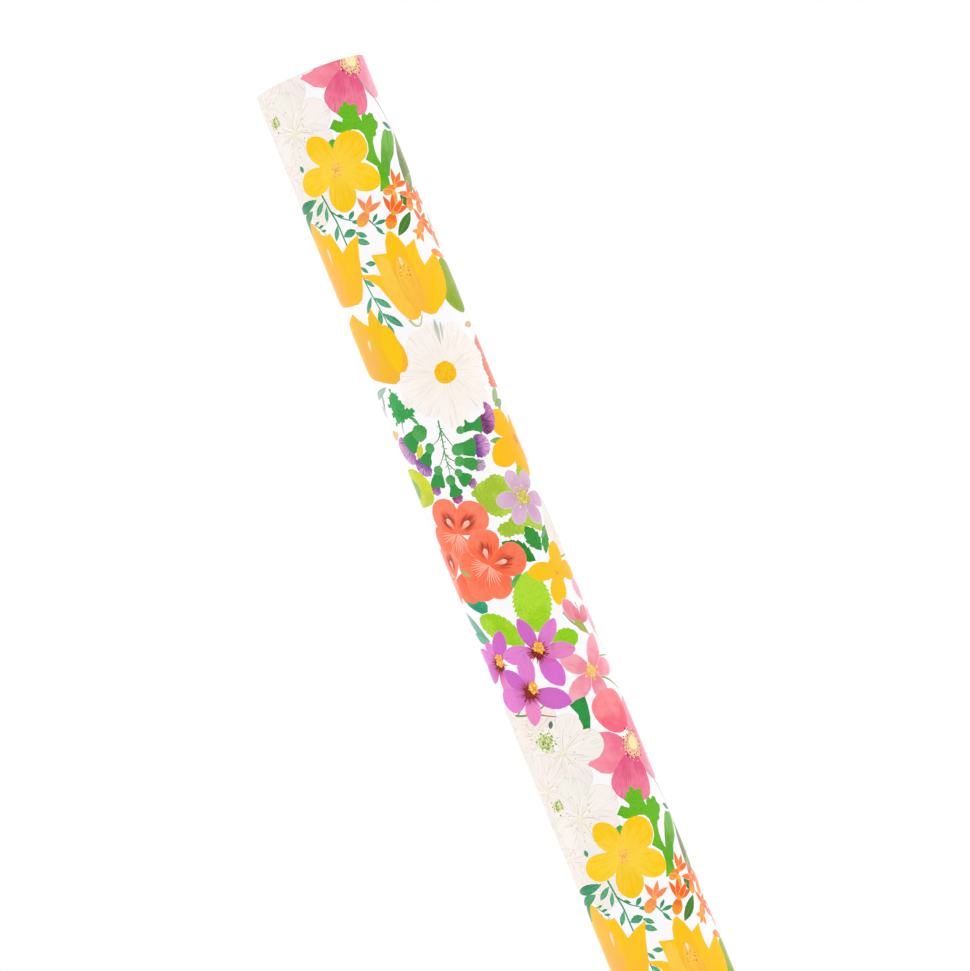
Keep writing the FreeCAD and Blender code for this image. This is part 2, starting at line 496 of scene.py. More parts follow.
def draw_teal_sprig():
    teal = ("#3A9A68", "#56AD80", "#1F7A4C")
    deep = ("#1F8F5F", "#36A274", "#0F6F45")
    leaf((-14.8, 41.6), (-31, 43), 3.6, deep)
    leaf((-19, 44.5), (-31, 47.5), 3.4, teal)
    leaf((-24, 47), (-31, 54), 5, deep)
    main_stem = [
        (-12, 41), (-11.2, 47), (-10.4, 52), (-10.2, 60), (-9.4, 68), (-8.6, 78), (-7.4, 87), (-6.8, 94),
    ]
    sprig(main_stem, [
        ((-12.2, 43), (-18, 46.8), 2.3),
        ((-12, 45), (-14.4, 50.2), 1.7),
        ((-10.6, 52.5), (-13.7, 57.4), 2.0),
        ((-10.2, 57), (-5, 56.6), 3.0),
        ((-5.6, 57.2), (-2.2, 60.2), 1.9),
        ((-7, 59.2), (-2.2, 62.8), 2.3),
        ((-8.6, 68.6), (-6.6, 71.8), 1.4),
        ((-6.6, 68.4), (-2.8, 69.8), 1.9),
        ((-9, 73.2), (-6.4, 77), 1.5),
        ((-8.8, 79.4), (-13, 84.6), 1.7),
        ((-8.4, 80), (-3.6, 85.8), 2.3),
        ((-8, 84.6), (-9.6, 90.2), 2.0),
        ((-7.6, 86), (-2.2, 93.4), 2.5),
        ((-7, 89.6), (-6.6, 95.6), 1.9),
    ], teal, 0.7)
    sprig([(-11.4, 47), (-8, 51), (-4.2, 53.6)], [
        ((-6, 52.6), (-3.2, 50.2), 1.7),
        ((-7, 51), (-9.2, 49.2), 1.0),
        ((-5.4, 53.6), (-2.6, 54.4), 1.5),
    ], deep, 0.6)
    sprig([(-21.5, 48.6), (-18, 52), (-16, 56)], [
        ((-21, 49), (-18, 48.6), 0.9),
        ((-20, 50.6), (-16.4, 50.4), 1.0),
        ((-19, 52), (-16, 52.4), 1.0),
        ((-20.4, 51), (-20.2, 54.6), 1.1),
        ((-17.8, 53.4), (-18.4, 56), 1.0),
    ], deep, 0.4)
    sprig([(0.4, 55), (1.8, 58), (3.8, 61.8)], [
        ((1.2, 56.6), (4, 54), 1.3),
        ((1.4, 57.2), (6.2, 57.2), 1.5),
        ((1.6, 57.6), (3.4, 61.6), 1.4),
    ], deep, 0.5)


def draw_tulips():
    gold = ("#FDBE2E", "#FFC90E", "#F2AC10")
    soft = ("#FBBB50", "#FCC440", "#F2A63C")
    deep = ("#FFC60A", "#FFC600", "#EFAC00")
    freeform([
        (-24, 47.2), (-21.6, 49), (-20, 52.6), (-17.6, 54.2), (-15.1, 53.8), (-14.2, 57), (-13, 61.9),
        (-9, 59.6), (-4.8, 58.2), (-6.2, 61.6), (-7.5, 65.5), (-8.6, 70), (-9.8, 73.4), (-10.9, 76.2),
        (-12.7, 79.2), (-15, 80.2), (-20.3, 79.6), (-26, 78.6), (-31, 75), (-35, 68), (-37, 60), (-37.4, 52),
        (-33, 54), (-30, 54.6), (-27, 50),
    ], (-17, 80.4), (-14, 56), 9, gold)
    petal((-23, 79), (-23.4, 48.6), 11, soft, widest=0.45, fullness=0.6)
    petal((-20.4, 64), (-19.4, 58), 1.3, ("#FBDDB0", "#FCE6C4", "#F6C080"), ink="hair", steps=6)
    freeform([
        (-10.3, 71.2), (-7.6, 72.1), (-4.9, 73), (-2.9, 74.4), (-3, 70.4), (-3.4, 66.4), (-0.9, 67.2),
        (1.8, 67.9), (2.7, 64.2), (4.6, 61.2), (6, 61.2), (7.8, 64.2), (9.1, 68.1), (11.2, 67.4),
        (13.5, 66.4), (13, 69.4), (12.8, 73), (13.4, 76.2), (16.4, 74.5), (19.2, 73.2), (21.4, 71.8),
        (19.8, 76), (18.4, 79.4), (16.5, 83.3), (15.6, 86.8), (13.1, 91.3), (10.5, 93.1), (8.2, 92.9),
        (6.4, 91.5), (5.6, 90.5), (4.6, 92), (3, 92.7), (1.4, 92.3), (0.1, 91.3), (-1.6, 88), (-2.7, 84.5),
        (-3.7, 81.2), (-4.8, 77.9), (-6.7, 75), (-8.7, 73),
    ], (4, 93), (5, 62), 12, gold)
    petal((1.6, 91.8), (-0.8, 67.8), 7.4, ("#FCC63C", "#FCCC4A", "#F2AE34"), widest=0.45, fullness=0.6)
    petal((5.0, 90.6), (5.2, 62.0), 7.4, ("#FBB830", "#FFC604", "#EFA80C"), widest=0.6, fullness=0.6)
    petal((9.6, 92.4), (20.4, 72.6), 7.4, deep, widest=0.45, fullness=0.7, bend=1.8)
    petal((5.6, 90.4), (5.0, 70.2), 6.6, ("#FCBC3E", "#FDC440", "#F2A42A"), rim="#F4AE2A", rim_width=0.16,
          widest=0.5, fullness=0.5, ink="veined")
    petal((5.2, 74), (5.4, 70.6), 1.2, ("#FCE0A8", "#FDEBC8", "#F6C880"), steps=6)
    stamens((5.4, 76), 2.2, ["#D98A2A", "#FCD080", "#C98030"], 12, 0.3, (0.2, 1.0))
    stem([(0.4, 91.8), (1.6, 94.4), (3.4, 94.8), (5.2, 91.8)], 0.9, "#C3CE84")
    freeform([
        (-20.4, 82.2), (-17.9, 85.2), (-16.3, 87), (-14.6, 88.4), (-13.6, 85.9), (-10.9, 82.8),
        (-10.6, 85.3), (-9.6, 88.9), (-7.6, 93.2), (-5.9, 96.6), (-5, 100), (-5, 103.4), (-5.8, 106),
        (-7.6, 107.7), (-9.4, 107.4), (-10.1, 108.1), (-10.6, 109.7), (-13, 110.4), (-15.8, 109.4),
        (-20.3, 107.4), (-25, 105.6), (-31, 102), (-35, 96), (-36.4, 87), (-33, 88.6), (-30, 88.4),
        (-27, 85),
    ], (-13, 110), (-13, 85), 9, gold)
    petal((-20, 106.4), (-20.6, 83.6), 10, soft, widest=0.5, fullness=0.6)
    petal((-9.6, 107.2), (-8.6, 90), 6.6, deep, widest=0.5, fullness=0.6)
    petal((-18.6, 97), (-17.4, 92.6), 1.3, ("#FBDDB0", "#FCE6C4", "#F6C080"), ink="hair", steps=6)


def draw_trumpets():
    dark = ("#4D8A22", "#3C7A1A", "#2A5E10")
    leaf((15.6, 49.6), (16.6, 56.4), 3.2, dark)
    leaf((8, 63.8), (16.6, 57.2), 3.6, dark)
    leaf((20, 48), (27, 44), 3.2, ("#9AA96A", "#AEBB82", "#7C8C50"))
    trumpet((1.2, 52.2), (-16, 32, 76), 5.8, 1.9, (-3.6, 56), 4.0, "#F9925A", "#FBAE45")
    trumpet((14.6, 47.2), (10, 50, 86), 6.4, 2.0, (8.8, 48.6), 3.2, "#FA7A28", "#FBA02E")
    trumpet((13, 49.4), (-60, 200), 4.4, 1.8, (10.6, 54), 2.8, "#FBA028", "#FCB83A")
    trumpet((9.6, 55.8), (-12, 20, 84, 60), 6.8, 2.1, (5.8, 60.6), 4.2, "#FA6A1E", "#FBA324")
    trumpet((19.6, 51.6), (-70, 20, 96, 120), 5.4, 2.0, (16.6, 57), 3.4, "#FA7E4A", "#FBB050")
    trumpet((24.6, 53.6), (-60, -10, 50, 110), 5.4, 2.2, (21.4, 58.6), 3.6, "#FA8652", "#FBA858")
    trumpet((20.6, 61.4), (-20, 62, 100, 140), 5.4, 2.0, (17, 65.2), 3.6, "#FA7A52", "#FBA040")
    trumpet((17.4, 65), (-70, 185, 235), 3.6, 1.8, (19.6, 62), 2.8, "#FBA43A", "#FBB050")
    trumpet((25, 67), (-50, 10, 80, 130), 5.0, 2.0, (27, 72), 3.2, "#FA8A72", "#FBB070")
    petal((28, 75.5), (19, 72.2), 3.0, ("#FBB070", "#FA9A4A", "#F08A3A"), steps=6)


def draw_daisy():
    freeform([
        (22.4, 74.8), (19.2, 79), (17, 83.4), (16, 87.9), (17, 91.4), (19.4, 94.1), (22.6, 95.8), (26, 95.8),
        (29.5, 92), (31, 84), (28, 76.4),
    ], (22.4, 96), (24.4, 75), 7, ("#8FAE14", "#A3B840", "#7F9C14"), ink="moss", round_off=1)
    leaf((21, 100.4), (28, 100), 2.4, ("#E3B98A", "#E9C9A0", "#C99A66"))
    freeform([
        (32, 103), (26.4, 104.8), (22.6, 106.8), (22.4, 108.4), (25, 110.4), (24.2, 112.8), (22.4, 115),
        (22.2, 117.6), (23.2, 119.6), (21.4, 121.6), (22.6, 123.6), (32, 124.4), (37, 121.6), (39.4, 115),
        (37.6, 107.4),
    ], (32, 114), (22, 114), 8, ("#F29A80", "#F08C70", "#D97A62"), ink="veined", depth=0.45)
    for root, tip, width in (
        ((19.6, 128.6), (25.8, 123.6), 3.4),
        ((19.4, 129.8), (26.4, 128.6), 3),
        ((20.2, 133), (25, 128), 1.4),
    ):
        leaf(root, tip, width, ("#98B878", "#A9C48C", "#7C9C60"))
    daisy((5.2, 113.1), 18.2, 3.9)
    petal((7.4, 104), (8.6, 94.6), 1.5, ("#D3D6C8", "#BFC8B4", "#9AA890"), ink="hair")
    petal((8.8, 103), (10.4, 96), 0.9, ("#DADCCF", "#C8CFBE", "#9AA890"), ink="hair")


def draw_feather_sprig():
    fern = ("#35A14E", "#4AB060", "#1A8036")
    leaf((-18, 110), (-31, 112.6), 2.6, ("#86B89A", "#A5CBB4", "#5F9A78"))
    leaf((-26, 117.6), (-22, 111), 1.5, ("#9AA8A0", "#B5BFB8", "#7C8A80"))
    freeform([
        (-16.8, 110.6), (-16, 112.8), (-14.2, 113), (-14.6, 115.4), (-13.4, 117.2), (-13.4, 119.2),
        (-10, 120.6), (-10.8, 122.8), (-12.6, 123.4), (-14.6, 122.6), (-16.6, 123.8), (-19, 123),
        (-21.6, 123.6), (-19.8, 121.4), (-21.4, 119.8), (-19.6, 118), (-21.8, 116), (-19.2, 115.2),
        (-19.8, 113.4), (-17.6, 113.2),
    ], (-16, 124), (-17, 111), 4, fern, ink="moss", depth=0.55)
    leaf((-12.6, 122.2), (-10.4, 126.6), 1.8, fern, teeth=5, tooth=0.5)
    stem([(-17.2, 123), (-18.8, 127)], 0.6, "#8FA598")
    petal((-31, 117), (-25.6, 117.4), 4.5, ("#E3C3D6", "#EBD3E0", "#CFA3C0"))
    petal((-31, 126.4), (-22.4, 126.4), 3.6, ("#F2C27E", "#F4CC92", "#DDA45A"))


def draw_thistles():
    green = "#5C9A55"
    stem([(-3.4, 127.4), (-4.4, 133), (-5.6, 139), (-6.6, 146)], 0.55, green)
    stem([(-4, 131), (-5.8, 133.4), (-8.8, 134.6)], 0.5, green)
    stem([(-3.8, 130.6), (-3, 134), (-1.8, 138.4)], 0.5, green)
    stem([(-5.2, 137.4), (-7, 140), (-9.6, 142.4)], 0.5, green)
    stem([(-5.6, 139), (-4.4, 141.4), (-2.6, 143)], 0.5, green)
    stem([(-6.2, 141.6), (-5, 144.4), (-3.8, 146)], 0.45, green)
    for share in range(14):
        side = 1 if share % 2 else -1
        root = (-3.6 - 0.22 * share, 129 + 1.15 * share)
        tip = (root[0] + side * 1.1, root[1] + 0.5)
        hair(root, tip, 0.3, green, widest=0.4, fullness=0.6, steps=4)
    leaf((-12.6, 132.6), (-16.8, 137.6), 3.0, ("#C9CF2A", "#D6D83A", "#A8AD24"))
    thistle((-11.6, 129), 3.0,
            [(-13.5, 127.2), (-17, 127.4), (-20.8, 128.4), (-20.4, 131.5), (-18.2, 134.6), (-16.4, 135),
             (-14.4, 132.8), (-13, 131.6)],
            [(-20, 127.6), (-24.5, 128), (-27, 131.5), (-24, 136.2), (-20, 138.8), (-17, 137), (-17.6, 133)],
            "#B87AC0", "#EAB4DC")
    thistle((-10.1, 135.1), 1.8,
            [(-11, 135.4), (-15.4, 136.8), (-16.2, 138.6), (-12.9, 141.2), (-11.5, 140.4), (-10.8, 137.8),
             (-9.4, 136.6)],
            [(-15.2, 136.8), (-18.4, 137.2), (-19.6, 139.8), (-17.8, 142.8), (-14.4, 144.4), (-12.4, 142.8),
             (-12.6, 140)],
            "#7E48A4", "#C68ACC")
    thistle((-10.3, 143.2), 1.7,
            [(-11.6, 143.2), (-15.6, 146.3), (-15.8, 148.4), (-13, 148.2), (-10.8, 149.8), (-9.9, 149.2),
             (-9.3, 146), (-9.2, 143.8)],
            [(-15.6, 147.8), (-16.2, 149.6), (-15, 151.2), (-13, 151.2), (-12, 149.4), (-13, 147.4)],
            "#9A4A8C", "#B97AB4")
    thistle((-7.3, 147.9), 1.8,
            [(-8.4, 148.6), (-8.6, 151), (-10.2, 152.8), (-8.6, 154), (-6, 154), (-4.3, 152.8), (-6, 151),
             (-6.2, 148.6)],
            [(-9.2, 153.4), (-9.4, 155), (-8.4, 156.4), (-6.4, 156.4), (-5.4, 155), (-5.6, 153.4)],
            "#A03878", "#B860A4")
    thistle((-3.7, 146.5), 1.4,
            [(-4.6, 146.8), (-4.4, 151.4), (-2.8, 152.2), (0.5, 149.6), (-0.2, 148.2), (-2.6, 146.9)],
            [(-2, 151), (-1.8, 153), (-0.4, 153.7), (0.9, 152.4), (0.9, 150.6), (-0.2, 149.8)],
            "#955490", "#BE8ABC")
    thistle((-1.9, 143.1), 1.8,
            [(-0.9, 142.4), (2.4, 143.2), (3.9, 144.6), (3.7, 146.6), (1.2, 148), (0.2, 147), (-1.6, 144.8)],
            [(3, 144.8), (4.8, 144.8), (6.3, 146.2), (5.9, 148.4), (4, 149.2), (2, 148.2), (1.8, 146.6)],
            "#9A80A0", "#C8B0C8")
    thistle((-0.9, 139.2), 2.2,
            [(-0.4, 137), (2, 137.6), (5.8, 136.9), (5.6, 140), (3.9, 143.8), (2.2, 142.8), (-0.4, 141.4)],
            [(5, 137.2), (7.2, 136.4), (9.6, 137.5), (10.8, 140.6), (9.4, 144.1), (6.4, 145), (3.8, 144)],
            "#7E3A9A", "#E4A6DA")
    thistle((2.4, 133.3), 1.4,
            [(2.6, 132.2), (4.4, 132.7), (5.1, 129.9), (6.2, 132.3), (8.4, 132.3), (10.9, 131), (10.6, 134),
             (9.3, 137.4), (7.9, 135.8), (6, 134.8), (2.8, 134.6)],
            [(10, 131.4), (12.4, 131), (14, 130.6), (13.8, 128.6), (14.6, 126.7), (16.7, 128.5), (17.5, 131),
             (16.7, 134.5), (14.5, 137.4), (11.4, 138.4), (9.4, 136.8)],
            "#7A2468", "#C67CBC")


def draw_golden_flower():
    gold = ("#FFBC10", "#FFC200", "#F0A400")
    leaf((10.8, 140.6), (18, 142.2), 2.4, ("#7FB04A", "#8FBC58", "#5F9030"))
    spot((23.5, 143), 6, gold, ink="petal")
    tips = ((33, 136), 10), ((34, 150), 10), ((22, 157), 9.5), ((15.6, 131.6), 10.4), ((9.4, 148.4), 10)
    for tip, width in tips:
        petal((24, 142.6), tip, width, gold, widest=0.6, fullness=0.56)
    spot((25.2, 143), 2.0, ["#F6B040", "#EE9A2E", "#D9822B"], ink="pollen")


def draw_lime_leaf():
    freeform([
        (-32, 139.6), (-24, 138.6), (-19, 141), (-16, 144.6), (-15.4, 149), (-16.8, 152.4), (-20, 153.6),
        (-32, 153), (-38, 146.4),
    ], (-38, 146), (-15, 147), 8, ("#C4D536", "#D9E02E", "#A9BC24"), ink="moss", round_off=1)
    leaf((-33, 146), (-23, 146.6), 8, ("#7FB86A", "#98C47A", "#5F9A4A"), fullness=0.6)


def draw_lilac():
    lime = ("#A8C836", "#BDD84A", "#8CB024")
    freeform([
        (-2.6, 155), (-0.6, 153.4), (1.8, 152.4), (4.4, 152.1), (7.2, 151.3), (9.3, 152.4), (13, 156),
        (14, 164), (8, 166), (4.4, 166.2), (1.8, 164.6), (-0.2, 162), (-1.4, 159.4), (-1.2, 157.4),
    ], (13, 164), (0, 154), 8, lime, ink="moss", depth=0.3)
    freeform([
        (1, 169.9), (2.9, 168.2), (5.7, 168.3), (9, 166), (16, 168), (19.2, 173), (18.6, 176), (16.4, 175.4),
        (13.7, 173.6), (12.2, 172.2), (9.4, 174.4), (6.6, 173.4), (4.2, 173.8), (1.7, 171.8),
    ], (15, 168), (3, 171), 6, lime, ink="moss", depth=0.3)
    freeform([
        (16.6, 158), (16.4, 154), (18.2, 151.6), (20.6, 152.6), (20.2, 157),
    ], (18, 158), (19, 151.6), 2, lime, ink="moss", depth=0.3)
    lilac = ("#D3A6C8", "#E0BCD6", "#BE8CB6")
    for tip in ((25.6, 166), (22.2, 154.4), (12.6, 152.2), (4.6, 160.8), (8.4, 170.2), (18.6, 173.2)):
        petal((15.6, 162.6), tip, 5.9, lilac, rim="#E9D3E6", rim_width=0.14, widest=0.66, fullness=0.56)
    spot((15.4, 162.4), 2.6, ["#E3D06A", "#C9C46A", "#A9A83A"], ink="pollen", wobble=0.2)
    stamens((15.4, 162.4), 4.6, ["#F2C43A", "#B5B84A", "#F7EBA8", "#D9B83F"], 54, 0.34, (0.3, 1.0))


def draw_corals():
    coral = ("#FF7450", "#FF8A6C", "#EE5A42")
    deep = ("#FF6A42", "#FF8260", "#EA5434")
    petal((-16, 179), (-21, 190.2), 14, deep, widest=0.6, fullness=0.5)
    pelargonium((-23, 179.6), [
        ((-34, 186), 12, False), ((-33, 171), 12, False), ((-20.8, 166.6), 11.5, True),
    ], ("#FF8468", "#FF9C84", "#F06A54"))
    pelargonium((-12.4, 165.8), [
        ((-26, 166), 10, False), ((-14, 176.5), 9, False),
        ((-17.4, 153), 12.6, True), ((-0.3, 160.2), 12.4, True),
    ], coral)
    petal((-6, 179), (-15.4, 189.4), 12.6, deep, rim="#FF9A80", rim_width=0.14, widest=0.6, fullness=0.52)
    pelargonium((-5.8, 179.8), [
        ((-18, 177), 11, False), ((-5, 192.2), 9.8, False),
        ((-4.8, 167.2), 11.6, True), ((7.2, 181.4), 11.8, True),
    ], deep)
    leaf((-14.4, 181.4), (-18.6, 177.2), 1.6, ("#8FAF5A", "#9FBC6C", "#6F8F3F"))


def draw_dark_leaves():
    dark = ("#228A28", "#35983A", "#0F6A1C")
    leaf((1, 174.0), (10, 184.4), 7.4, dark, teeth=6, tooth=0.2, ink="moss")
    leaf((11, 172), (13.8, 182), 6.8, dark, teeth=5, tooth=0.22, ink="moss")
    leaf((15, 183.6), (20, 174), 4.2, ("#3A9C38", "#52AA48", "#2A8424"), teeth=4, tooth=0.25, ink="moss")
    leaf((16, 178), (25, 172.4), 2.0, ("#5FA060", "#7FB47C", "#3F8444"))
    white_blossom((33, 176), (-95, -50, -140, 0, 60), 13, 11, ("#F0E3B8", 1.6), "#F8E9E0")


def draw_yellow_cross():
    yellow = ("#FAC420", "#FFC808", "#F0AC08")
    stem([(22, 186.6), (30, 186.4)], 0.9, "#A9BC7A")
    spot((17, 190), 4.4, yellow, ink="petal")
    for tip, width in (((28.6, 192.6), 7.6), ((21.6, 180.4), 7.4), ((5.4, 187.2), 6.8), ((11.8, 201.4), 7.2)):
        petal((17.6, 190.4), tip, width, yellow, widest=0.56, fullness=0.6)
    stamens((16.8, 191), 1.6, ["#F6B428", "#E9A41E"], 10, 0.35, (0.1, 1.0))


def draw_leaf_fan():
    lime = ("#9DD314", "#B2DE34", "#84C00C")
    teal = ("#279C6E", "#3FB086", "#147A54")
    freeform([
        (-22.6, 188.4), (-18, 190.4), (-15, 190), (-12.8, 190.9), (-12.3, 192.4), (-13.3, 194.6),
        (-16, 194.6), (-19, 192.6), (-21.8, 190.4),
    ], (-22, 189), (-13, 193), 2.5, teal, ink="moss")
    leaf((-27.6, 192), (-18.6, 203), 4.2, ("#7FAFA0", "#98BFB2", "#5F9484"), bend=0.5)
    leaf((-26, 200.4), (-17.6, 204.4), 4.6, ("#5FB394", "#74C0A4", "#3F9474"))
    leaf((-1.6, 189), (5.6, 189.6), 6.0, ("#4CAF50", "#5DB85E", "#2F8F38"))
    leaf((-18.4, 195.6), (-4.8, 209.8), 9.4, lime, ink="moss", teeth=9, tooth=0.1, bend=-1.2, widest=0.42,
         fullness=0.62)
    leaf((1.2, 207.4), (5.4, 186.4), 14.4, lime, ink="moss", teeth=13, tooth=0.13, widest=0.5, fullness=0.6)
    leaf((3.8, 212.6), (14.8, 213.4), 8.0, ("#8CCE10", "#9AD60A", "#74B60C"), ink="moss", teeth=6, tooth=0.12,
         fullness=0.55)
    spot((-9.6, 216), 1.3, ["#A9D63A"] * 3, squash=0.6)


def draw_pink_bud():
    pink = ("#F07F92", "#F8A3B0", "#E05F7A")
    petal((26.5, 204), (25, 194.6), 6.4, ("#F8B5C4", "#F9C3CF", "#EE9AAE"))
    petal((26, 216), (29, 206), 6.4, ("#F8B5C4", "#F9C3CF", "#EE9AAE"))
    stem([(12.4, 204.2), (14.4, 208.6), (17, 211.4), (20.6, 215)], 1.0, "#8FA85A")
    stem([(19.8, 202.8), (19.6, 207), (18.6, 210.6)], 0.5, "#A5B077")
    petal((18.4, 210.4), (25.8, 205.4), 5.2, pink, rim="#FBD3DA", rim_width=0.25)
    petal((18.2, 211.2), (14.2, 200.2), 5.6, pink, rim="#FBD3DA", rim_width=0.25)
    petal((18.6, 211), (17.8, 203.4), 3.2, ("#E86C86", "#F28AA0", "#C94A6C"), steps=6)
    petal((20.4, 214.6), (15.8, 208.2), 3.6, ("#A9B44A", "#B8A85A", "#84903A"), ink="leaf", steps=6)


def draw_violets():
    stem([(-20.4, 231.4), (-15, 232.4), (-9, 232), (-5, 230.6)], 0.8, "#8A8A3E")
    stem([(-19, 231.6), (-15, 229), (-12, 226)], 0.7, "#8FA05A")
    stem([(-10, 233.4), (-7, 235), (-4, 236.4)], 0.7, "#B98A5A")
    purple_flower((-17.8, 213), [
        ((-30, 207), 7), ((-31, 217), 7), ((-17.6, 228), 7.4), ((-20.4, 204), 5.6), ((-11.6, 202), 6.2),
    ], (0.9, -1.4))
    purple_flower((-1.4, 213.6), [
        ((-14.6, 210.8), 6.8), ((2.4, 227.4), 7.2), ((11.4, 217.4), 6), ((8.2, 205), 5.4), ((-3.8, 200.4), 5),
    ], (0.6, -1.4))
    purple_flower((-9.6, 225.6), [
        ((-25.2, 226), 9.6), ((2.8, 233.6), 7.4), ((-12.8, 236.8), 6), ((-6.6, 212), 6.2), ((-17, 215.4), 6),
    ], (1.7, -1.2))


def draw_salmon_star():
    salmon = ("#F48BA0", "#F9B0BB", "#E66F8C")
    stem([(16, 229), (21, 231.6), (27, 236.4)], 0.9, "#A3A85A")
    stem([(19, 223), (24, 223.4), (31, 224.4)], 0.8, "#B3B87A")
    for tip in ((27, 227.2), (23, 215), (4.6, 218.4), (2.2, 233.2), (15.6, 238)):
        petal((14.4, 226.8), tip, 6.6, salmon, rim="#FBD3DA", rim_width=0.25, widest=0.56, fullness=0.66)
    spot((14.2, 226.6), 1.9, ["#F6B860", "#F2A84A", "#DE8A2C"], ink="pollen")
    stamens((14.2, 226.6), 3.4, ["#F2C24A", "#E9A93A", "#FADB8A"], 24, 0.45, (0.3, 1.0), "#F7CF86")
    freeform([
        (1.5, 234.3), (4.6, 233.6), (7.8, 233.6), (7.6, 237), (6.8, 241), (4.6, 246), (1.4, 245.6),
        (2.4, 242), (3.2, 238.6),
    ], (6, 234), (3, 246), 3, ("#1F8A3A", "#2F9A48", "#0F6A28"), ink="moss")


def draw_moved(draw, centre, goal, turn):
    """Draws a group again elsewhere on the sheet, without what would reach the roll's front."""
    c, s = math.cos(math.radians(turn)), math.sin(math.radians(turn))

    def put(point):
        x, y = point[0] - centre[0], point[1] - centre[1]
        return (goal[0] + x * c - y * s, goal[1] + x * s + y * c)

    first = len(shapes)
    draw()
    moved = shapes[first:]
    del shapes[first:]
    for shape in moved:
        shape.outline = [put(point) for point in shape.outline]
        shape.root, shape.tip = put(shape.root), put(shape.tip)
        if all(back_left < x < back_right for x, _ in shape.outline):
            shapes.append(shape)


def draw_front():
    """The half of the repeat that lies at the front of the roll, from the lowest group to the topmost."""
    for draw in (
        draw_salmon_star, draw_anemone, draw_cream_blossoms, draw_white_blossoms, draw_lobed_leaf,
        draw_teal_sprig, draw_buttercup, draw_daisy, draw_tulips, draw_trumpets, draw_feather_sprig,
        draw_golden_flower, draw_lime_leaf, draw_thistles, draw_lilac, draw_dark_leaves, draw_corals,
        draw_leaf_fan, draw_yellow_cross, draw_pink_bud, draw_violets,
    ):
        draw()


def draw_back():
    """The half of the repeat that lies at the back of the roll: the same plants, turned and regrouped."""
    for draw, centre, goal, turn in (
        (draw_cream_blossoms, (-12, 246), (46, 98), 40),
        (draw_white_blossoms, (-14, 16), (82, 158), -60),
        (draw_leaf_fan, (-4, 200), (50, 66), 150),
        (draw_lobed_leaf, (10, 30), (78, 70), 200),
        (draw_lime_leaf, (-22, 147), (40, 168), 20),
        (draw_anemone, (16, 2), (64, 122), 150),
        (draw_daisy, (5, 113), (48, 26), 70),
        (draw_teal_sprig, (-9, 66), (88, 108), 20),
        (draw_teal_sprig, (-9, 66), (36, 205), -160),
        (draw_buttercup, (-3, 35), (86, 82), 100),
        (draw_corals, (-12, 175), (80, 18), 160),
        (draw_golden_flower, (23, 143), (60, 50), 30),
        (draw_tulips, (-4, 84), (58, 196), 175),
        (draw_thistles, (-4, 140), (42, 136), 160),
        (draw_violets, (-9, 218), (40, 238), 120),
        (draw_trumpets, (14, 55), (64, 84), 220),
        (draw_lilac, (14, 163), (70, 160), -130),
        (draw_buttercup, (-3, 35), (44, 184), 60),
        (draw_salmon_star, (14, 227), (84, 212), 140),
        (draw_pink_bud, (18, 208), (88, 182), 40),
        (draw_yellow_cross, (17, 190), (66, 234), 80),
        (draw_trumpets, (14, 55), (86, 238), 60),
    ):
        draw_moved(draw, centre, goal, turn)


# ---------------------------------------------------------------------------------------------
# The sheet as geometry: the print becomes real edges between the flats of the rolled sheet.
# Tolerances are in millimetres, except column_snap, in columns, and weld_steps, per millimetre.
# ---------------------------------------------------------------------------------------------

INKS = ("ground", "plain", "petal", "veined", "throat", "flare", "leaf", "moss", "pollen", "hair", "inside")
OUTSIDE, INSIDE, FLAT = 1, -1, 0
border_snap = 0.002
column_snap = 1e-5
cut_tolerance = 1e-5
weld_steps = 1000


def copies_of(shape):
    """How far to move a shape for each copy of it that reaches into one repeat."""
    xs = [x for x, _ in shape.outline]
    ys = [y for _, y in shape.outline]
    for row in (-1, 0, 1):
        for turn in (-1, 0, 1):
            dx, dy = turn * repeat_width + row * repeat_step, row * repeat_length
            across = max(xs) + dx > repeat_left and min(xs) + dx < repeat_left + repeat_width
            if across and max(ys) + dy > 0 and min(ys) + dy < repeat_length:
                yield dx, dy


def inside_outline(outline, x, y):
    """Which of the given points lie inside a closed outline."""
    odd = np.zeros(len(x), bool)
    for (ax, ay), (bx, by) in zip(outline, outline[1:] + outline[:1]):
        if ay != by:
            crosses = (ay > y) != (by > y)
            odd ^= crosses & (x < (bx - ax) * (y - ay) / (by - ay) + ax)
    return odd


